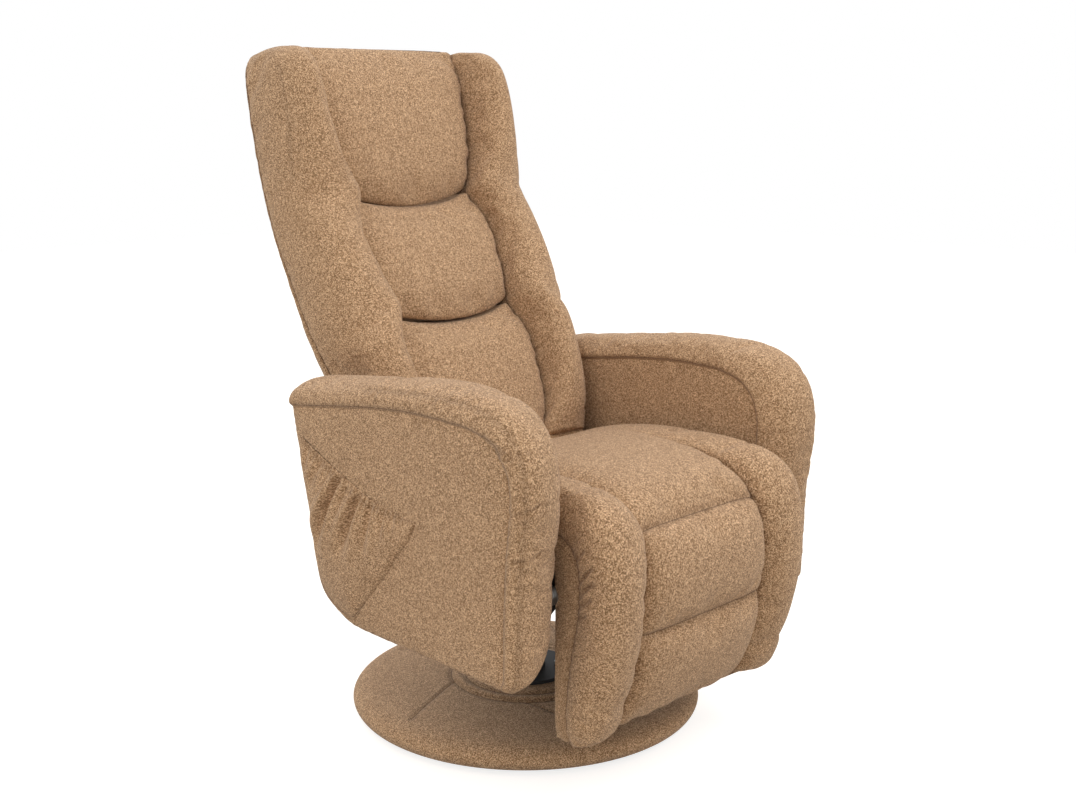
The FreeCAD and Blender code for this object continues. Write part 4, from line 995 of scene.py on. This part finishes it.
# %% The roll in the crease
NOSE_RINGS, NOSE_STEPS, NOSE_HALF, NOSE_RADIUS = 50, 48, 0.199, 0.0595
nose_turn = np.linspace(0, 2 * math.pi, NOSE_STEPS, endpoint=False)
nose_side = np.column_stack([np.cos(nose_turn), np.sin(nose_turn)])
# the ends close in: how far past the last full ring, and how wide
NOSE_END = ((0.0025, 0.055), (0.0030, 0.048))
nose_shape = [(x, NOSE_RADIUS) for x in np.linspace(-NOSE_HALF, NOSE_HALF, NOSE_RINGS)]
for past, radius in NOSE_END:
    nose_shape = [(-NOSE_HALF - past, radius), *nose_shape, (NOSE_HALF + past, radius)]
nose_rings = [np.column_stack([np.full(NOSE_STEPS, x), HINGE + r * nose_side]) for x, r in nose_shape]
piece = skin("crease_roll", nose_rings)
mark(piece, "ends", rows=[1, NOSE_RINGS + len(NOSE_END)])
subdivided(piece)
sewn(piece, [("ends", 0.001, 0.003, 0.001, 0.012)], 52)
dressed(piece, ["back_nose"], body="back")

# %% [markdown]
# ## Arms
# Each arm is an upholstered slab with a padded band over its front and top. The slab is drawn as
# one skin: the outer face grows from its middle to the sewn outline, crosses the thickness, and
# closes over the inner face. The band is swept along the seam.

# %% Arm slabs
ARM_INNER, ARM_OUTER = 0.240, 0.340
ARM_SEAM = ((-0.2965, 0.2065), (-0.296, 0.289), (-0.298, 0.355), (-0.302, 0.400), (-0.305, 0.430),
            (-0.309, 0.456), (-0.310, 0.482), (-0.305, 0.505), (-0.297, 0.531), (-0.284, 0.545),
            (-0.268, 0.555), (-0.245, 0.564), (-0.208, 0.568), (-0.156, 0.569), (-0.087, 0.569),
            (-0.034, 0.564), (0.075, 0.551), (0.168, 0.540))
ARM_REST = ((0.168, 0.540), (0.157, 0.484), (0.143, 0.439), (0.130, 0.395), (0.119, 0.349),
            (0.114, 0.313), (0.107, 0.280), (0.093, 0.252), (0.071, 0.232), (0.045, 0.220),
            (0.015, 0.2150), (-0.08, 0.2120), (-0.19, 0.2090), (-0.2965, 0.2065))
seam_side = through(ARM_SEAM, 92)
outline = np.vstack([seam_side, through(ARM_REST, 96)[1:-1]])
arm_middle = np.array([-0.08, 0.395])
FACE_RINGS, EDGE_RINGS = 24, 8
OUTER_CROWN, INNER_CROWN, EDGE_ROUNDING = 0.006, 0.004, 0.004
# how far the inner side moves outwards at its lower end and above it, and how far back
LOW_SHIFT, SIDE_SHIFT, SET_BACK = 0.070, 0.007, 0.026


def tongue(points):
    """Rounds the arm's front off towards the inner side, most of all at its lower end."""
    x, y, z = points[..., 0], points[..., 1], points[..., 2]
    inner = np.clip((ARM_OUTER - x) / (ARM_OUTER - ARM_INNER), 0, 1)
    low, near = growth(z, 0.280, 0.073, 1.05), growth(y, -0.150, 0.090)
    shift = (1 - np.sqrt(np.clip(1 - low ** 2, 0, 1))) * LOW_SHIFT * inner * near
    shift += SIDE_SHIFT * inner * near * growth(z, 0.400, 0.110)
    set_back = SET_BACK * inner ** 2 * growth(y, -0.100, 0.140) ** 2
    return np.stack([x + shift, y + set_back, z], axis=-1)


def slab_rings(outline, middle):
    """From the outer face's middle, over the edge, to the inner face's middle."""
    face = np.sin(np.linspace(0.04, 1, FACE_RINGS) * math.pi / 2)
    rounding = EDGE_ROUNDING * face ** 24
    outer = ARM_OUTER + OUTER_CROWN * (1 - face ** 4) - rounding
    inner = ARM_INNER - INNER_CROWN * (1 - face ** 4) + rounding
    edge = np.linspace(ARM_OUTER - 0.012, ARM_INNER + 0.012, EDGE_RINGS)
    shares = np.concatenate([face, np.ones(EDGE_RINGS), face[::-1]])
    stack = []
    for share, x in zip(shares, np.concatenate([outer, edge, inner[::-1]])):
        side = middle + (outline - middle) * share
        stack.append(np.column_stack([np.full(len(side), x), side]))
    return tongue(np.array(stack))


slab_left = slab_rings(outline, arm_middle)
for side, rings in both_sides(slab_left):
    piece = skin("arm_slab_" + side, rings, flat=(1, 2))
    mark(piece, "outline", rows=[FACE_RINGS - 1, FACE_RINGS + EDGE_RINGS])
    subdivided(piece)
    sewn(piece, [("outline", 0.0016, 0.004, 0.0006, 0.014)], 61 if side == "left" else 62)
    dressed(piece, ["arm_core_" + side, "arm_inner_panel_" + side, "arm_outer_panel_" + side],
            body="chassis")

# %% [markdown]
# ## Arm bands
# The band is thicker than it looks: its crown stands four centimetres off the slab. A second,
# flatter seam runs along it near the outer face, and short creases cross that seam at the front.

# %% Arm bands
# seam y, z, crown y, z
BAND_ROWS = (
    (-0.290, 0.2125, -0.311, 0.2060), (-0.2955, 0.231, -0.327, 0.223), (-0.296, 0.289, -0.332, 0.289),
    (-0.298, 0.345, -0.333, 0.348), (-0.301, 0.390, -0.336, 0.392), (-0.305, 0.430, -0.342, 0.430),
    (-0.309, 0.462, -0.346, 0.468), (-0.308, 0.492, -0.343, 0.507), (-0.300, 0.520, -0.332, 0.545),
    (-0.284, 0.541, -0.311, 0.575), (-0.262, 0.554, -0.281, 0.596), (-0.228, 0.562, -0.240, 0.608),
    (-0.180, 0.565, -0.186, 0.612), (-0.110, 0.566, -0.112, 0.610), (-0.034, 0.561, -0.030, 0.602),
    (0.045, 0.552, 0.050, 0.592), (0.105, 0.544, 0.113, 0.586), (0.138, 0.540, 0.149, 0.582),
    (0.156, 0.538, 0.170, 0.573), (0.163, 0.537, 0.177, 0.560),
)
BAND_STEPS = 31
SECOND_SEAM = BAND_STEPS - 8


def band_section(depth):
    """An arch over the slab's thickness, standing a little proud of both faces."""
    half = (ARM_OUTER - ARM_INNER) / 2
    middle = (ARM_OUTER + ARM_INNER) / 2
    turn = np.linspace(math.pi, 0, BAND_STEPS)
    x = middle + (half + 0.004) * squarer(turn, 0.72)
    d = depth * (1 - np.sin(turn) ** 0.80)
    foot = np.linspace(1, -1, 14)
    under = np.column_stack([middle + (half - 0.004) * foot, np.full(14, depth + 0.006)])
    return np.vstack([np.column_stack([x, d]), under])


CREST_SHARE = 0.82
# the sitter's right arm has short creases across its second seam: start, end, depth and width
BAND_CREASES = (((-0.341, -0.284, 0.522), (-0.318, -0.322, 0.541), 0.0040, 0.0038),
                ((-0.341, -0.262, 0.557), (-0.336, -0.296, 0.540), 0.0026, 0.0038),
                ((-0.341, -0.306, 0.456), (-0.316, -0.340, 0.472), 0.0036, 0.0038),
                ((-0.341, -0.299, 0.393), (-0.300, -0.334, 0.404), 0.0040, 0.0038))
band_rows = [(sy + (cy - sy) * CREST_SHARE, sz + (cz - sz) * CREST_SHARE, sy, sz)
             for sy, sz, cy, cz in BAND_ROWS]
band_left = side_rings(band_rows, 170, band_section)
band_left = tongue(rounded_end(rounded_end(band_left, True, 0.003, 3), False, 0.004))
for side, rings in both_sides(band_left):
    piece = skin("arm_band_" + side, rings)
    mark(piece, "face_seams", columns=[0, BAND_STEPS - 1])
    mark(piece, "second_seam", columns=[SECOND_SEAM], part=rings[:, SECOND_SEAM, 1:2] < 0.0)
    free = region(piece, slice(6, -6), slice(2, SECOND_SEAM))
    free[6:-6, SECOND_SEAM + 1:BAND_STEPS - 2] = 0.6
    upholstered(piece, free, 2.0, 0.03, 0.004,
                [("face_seams", 0.0012, 0.004, 0.0006, 0.012),
                 ("second_seam", 0.0006, 0.003, 0.0010, 0.010, 0.0008)], 71 if side == "left" else 72)
    if side == "right":
        dented(piece, BAND_CREASES)
    dressed(piece, ["arm_roll_" + side], body="chassis")

# %% [markdown]
# ## Padded base
# The round foot is upholstered too: cloth over a board, with a stitched ring near the column. From
# the ring five double stitched seams run out to the rim, all slanting past the middle alike.

# %% Padded base
# radius, height
BASE_ROWS = ((0.062, 0.0605), (0.090, 0.0598), (0.105, 0.0568), (0.115, 0.0572), (0.125, 0.0535),
             (0.150, 0.0528), (0.200, 0.0508), (0.235, 0.0485), (0.262, 0.0450), (0.279, 0.0385),
             (0.2875, 0.0290), (0.286, 0.0185), (0.278, 0.0110), (0.262, 0.0085))
SPOKES, ROUND_STEPS = 5, 200
SPOKE_TURN, SPOKE_MISS = math.radians(56.2), 0.091
base_line = through(BASE_ROWS, 60)
ring_rows = [int(np.argmin(np.abs(base_line[:26, 0] - r))) for r in (0.105, 0.125)]
base_turn = np.linspace(0, 2 * math.pi, ROUND_STEPS, endpoint=False)


def base_ring(radius, height):
    """One ring of the foot, turned so that the grid's columns run straight past the middle."""
    turn = base_turn + SPOKE_TURN - math.asin(SPOKE_MISS / max(radius, 0.110))
    return np.column_stack([radius * np.cos(turn), radius * np.sin(turn),
                            np.full(ROUND_STEPS, height)])


base_rings = np.stack([base_ring(r, z) for r, z in base_line])
inner_rings = np.stack([base_ring(r, z) for r, z in ((0.262, 0.0145), (0.265, 0.030),
                                                     (0.240, 0.038), (0.062, 0.054))])
base_rings = np.concatenate([base_rings, inner_rings])
# the cloth lies flat on the board and is drawn over the rim, so its radius runs on down there
profile = np.column_stack([np.linalg.norm(base_rings[:, 0, :2], axis=1), base_rings[:, 0, 2]])
spread = profile[0, 0] + np.concatenate(
    [[0], np.cumsum(np.linalg.norm(np.diff(profile, axis=0), axis=1))])
on_cloth = base_rings[..., :2] / np.linalg.norm(base_rings[..., :2], axis=2, keepdims=True)
piece = skin("base_cover_cloth", base_rings, looped=True, flat=on_cloth * spread[:, None, None])
outer_part = slice(ring_rows[1], int(np.argmax(base_line[:, 0] > 0.252)))
mark(piece, "rings", rows=ring_rows)
mark(piece, "spokes", columns=[k * ROUND_STEPS // SPOKES for k in range(SPOKES)],
     part=region(piece, outer_part))
subdivided(piece)
sewn(piece, [("rings", 0.0022, 0.005, 0.0004, 0.012), ("spokes", 0.0016, 0.0035, 0.0004, 0.012)], 81)
dressed(piece, ["base_cover"], base_cloth, body="base")

# %% [markdown]
# ## Side pocket
# A pouch sewn to the outer face of the sitter's right arm. Elastic in its mouth gathers the cloth
# into deep folds that fan out downwards and die away at the sewn bottom edge.

# %% Side pocket
MOUTH = ((0.135, 0.494), (0.086, 0.473), (0.053, 0.459), (0.007, 0.442), (-0.031, 0.428),
         (-0.066, 0.422), (-0.095, 0.416), (-0.128, 0.414))
POCKET_SEAM = ((0.137, 0.470), (0.124, 0.410), (0.112, 0.350), (0.108, 0.300), (0.094, 0.262),
               (0.066, 0.240), (0.036, 0.229), (0.022, 0.231), (0.004, 0.248), (-0.032, 0.285),
               (-0.063, 0.318), (-0.086, 0.350), (-0.111, 0.379), (-0.124, 0.403))
POCKET_ACROSS, POCKET_DOWN = 90, 44
mouth_line = through(MOUTH, POCKET_ACROSS)
sewn_line = through(POCKET_SEAM, POCKET_ACROSS)
u = np.linspace(0, 1, POCKET_ACROSS)[None, :]
v = np.linspace(0, 1, POCKET_DOWN)[:, None]
side_view = mouth_line[None] * (1 - v[..., None]) + sewn_line[None] * v[..., None]
# mouth place, end place, depth, width at the mouth, width at the end
FOLDS = (((0.034, 0.452), (0.097, 0.325), 0.0170, 0.0050, 0.0120),
         ((-0.012, 0.437), (0.034, 0.325), 0.0160, 0.0050, 0.0120),
         ((-0.036, 0.424), (-0.022, 0.335), 0.0070, 0.0040, 0.0090),
         ((-0.062, 0.420), (-0.058, 0.368), 0.0050, 0.0035, 0.0070),
         ((-0.082, 0.418), (-0.084, 0.385), 0.0025, 0.0030, 0.0060),
         ((0.112, 0.482), (0.118, 0.438), 0.0030, 0.0035, 0.0060),
         ((0.078, 0.468), (0.106, 0.415), 0.0045, 0.0045, 0.0090))
POCKET_CROWN, GATHER_HEIGHT = 0.0170, 0.0046
swell = POCKET_CROWN * np.sin(np.clip(0.01 + v, 0, 1) * math.pi) ** 0.75 * np.sin(u * math.pi) ** 0.6
gather = GATHER_HEIGHT * ripple(np.broadcast_to(u, side_view.shape[:2]) * 0.30, 91, 0.007, 0.015) * (
    (np.exp(-v / 0.16) - 0.7 * np.exp(-v / 0.02)) * np.sin(u * math.pi) ** 0.3)
height = 0.0026 + swell + gather
for start, end, depth, narrow, wide in FOLDS:
    a, b = np.array(start), np.array(end)
    share = np.clip((side_view - a) @ (b - a) / ((b - a) @ (b - a)), -0.3, 1)
    gap = np.linalg.norm(side_view - a - share[..., None] * (b - a), axis=2)
    width = narrow + (wide - narrow) * np.clip(share, 0, 1)
    fade = (1 - np.clip(share, 0, 1) ** 2) * depth * (1 - np.exp(-v / 0.035))
    height += fade * (0.5 * np.exp(-((gap - width * 1.9) / width) ** 2)
                      - np.exp(-(gap / (width * 0.8)) ** 2))
height = np.maximum(height, 0.0015) * (1 - v ** 12) + 0.0012
front_x = -(ARM_OUTER + 0.0025 + height)
back_x = np.minimum(-(ARM_OUTER + 0.0030), front_x + 0.0018)
front = np.dstack([front_x, side_view])
back = np.dstack([back_x, side_view])
piece = skin("side_pocket_cloth", np.concatenate([front, back[:, ::-1]], axis=1), flat=(1, 2))
front_only = region(piece, columns=slice(0, POCKET_ACROSS))
mark(piece, "hem", rows=[2], part=front_only)
mark(piece, "sewn_edge", rows=[POCKET_DOWN - 2], part=front_only)
subdivided(piece)
sewn(piece, [("hem", 0.0005, 0.002, 0.0006, 0.008, 0.0008),
             ("sewn_edge", 0.0008, 0.003, 0.0005, 0.010)], 91)
dressed(piece, ["side_pocket"], body="chassis")

# %% [markdown]
# ## Light
# A pale room: an even warm sky does most of the lighting. A large soft lamp above the front, a
# weaker one on the pocket's side and one behind give the folds their shade. The sky looks white
# only to rays that come straight from the camera or by way of a mirror or glass.

# %% Light
SKY, SKY_LIGHT = (1.0, 0.965, 0.91, 1), 0.98
LAMPS = (("key", (1.0, -1.6, 3.2), (0, 0, 0.5), 2.2, 36),
         ("fill", (-2.7, -0.6, 2.6), (0, 0, 0.5), 2.2, 17),
         ("rim", (0.6, 2.6, 2.4), (0, 0, 0.6), 2.0, 16))


def seen_white(tree):
    """A wire to build from, and one that is 1 for camera, mirror and glass rays and 0 for others."""
    start = Wire(tree, None)
    seen = start.node("LightPath")
    outputs = seen.socket.node.outputs
    for ray in ("Is Glossy Ray", "Is Transmission Ray"):
        seen = seen.at_least(Wire(tree, outputs[ray]))
    return start, seen


world = bpy.data.worlds.new("room")
bpy.context.scene.world = world
world.use_nodes = True
room, seen = seen_white(world.node_tree)
sky = room.node("Background", {}, {"Color": SKY, "Strength": SKY_LIGHT})
white = room.node("Background", {}, {"Color": (1, 1, 1, 1), "Strength": 1.0})
both = room.node("MixShader", {}, {0: seen, 1: sky, 2: white})
room.tree.links.new(both.socket, world.node_tree.nodes["World Output"].inputs["Surface"])

for name, spot, aim, size, power in LAMPS:
    light = bpy.data.objects.new(name, bpy.data.lights.new(name, "AREA"))
    light.data.size, light.data.energy = size, power
    light.location = spot
    light.rotation_mode = "QUATERNION"
    light.rotation_quaternion = (Vector(aim) - Vector(spot)).to_track_quat("-Z", "Y")
    bpy.context.scene.collection.objects.link(light)
print("lamps", [name for name, *_ in LAMPS])

# %% [markdown]
# ## Floor
# The floor is matte and takes the chair's shadow. Light is added to it for the same rays that see
# the sky white, so it looks pale in the picture and throws no added light on the chair.

# %% Floor
FLOOR, FLOOR_LIFT = (0.50, 0.47, 0.43, 1), 0.78
bpy.ops.mesh.primitive_grid_add(x_subdivisions=2, y_subdivisions=2, size=16)
floor = bpy.context.object
floor.name = "floor"
material = bpy.data.materials.new("pale_floor")
material.use_nodes = True
ground, seen = seen_white(material.node_tree)
matte = ground.node("BsdfDiffuse", {}, {"Color": FLOOR})
lift = ground.node("Emission", {}, {"Color": (1, 1, 1, 1), "Strength": seen * FLOOR_LIFT})
total = ground.node("AddShader", {}, {0: matte, 1: lift})
ground.tree.links.new(total.socket, material.node_tree.nodes["Material Output"].inputs["Surface"])
floor.data.materials.append(material)
print("floor ready")
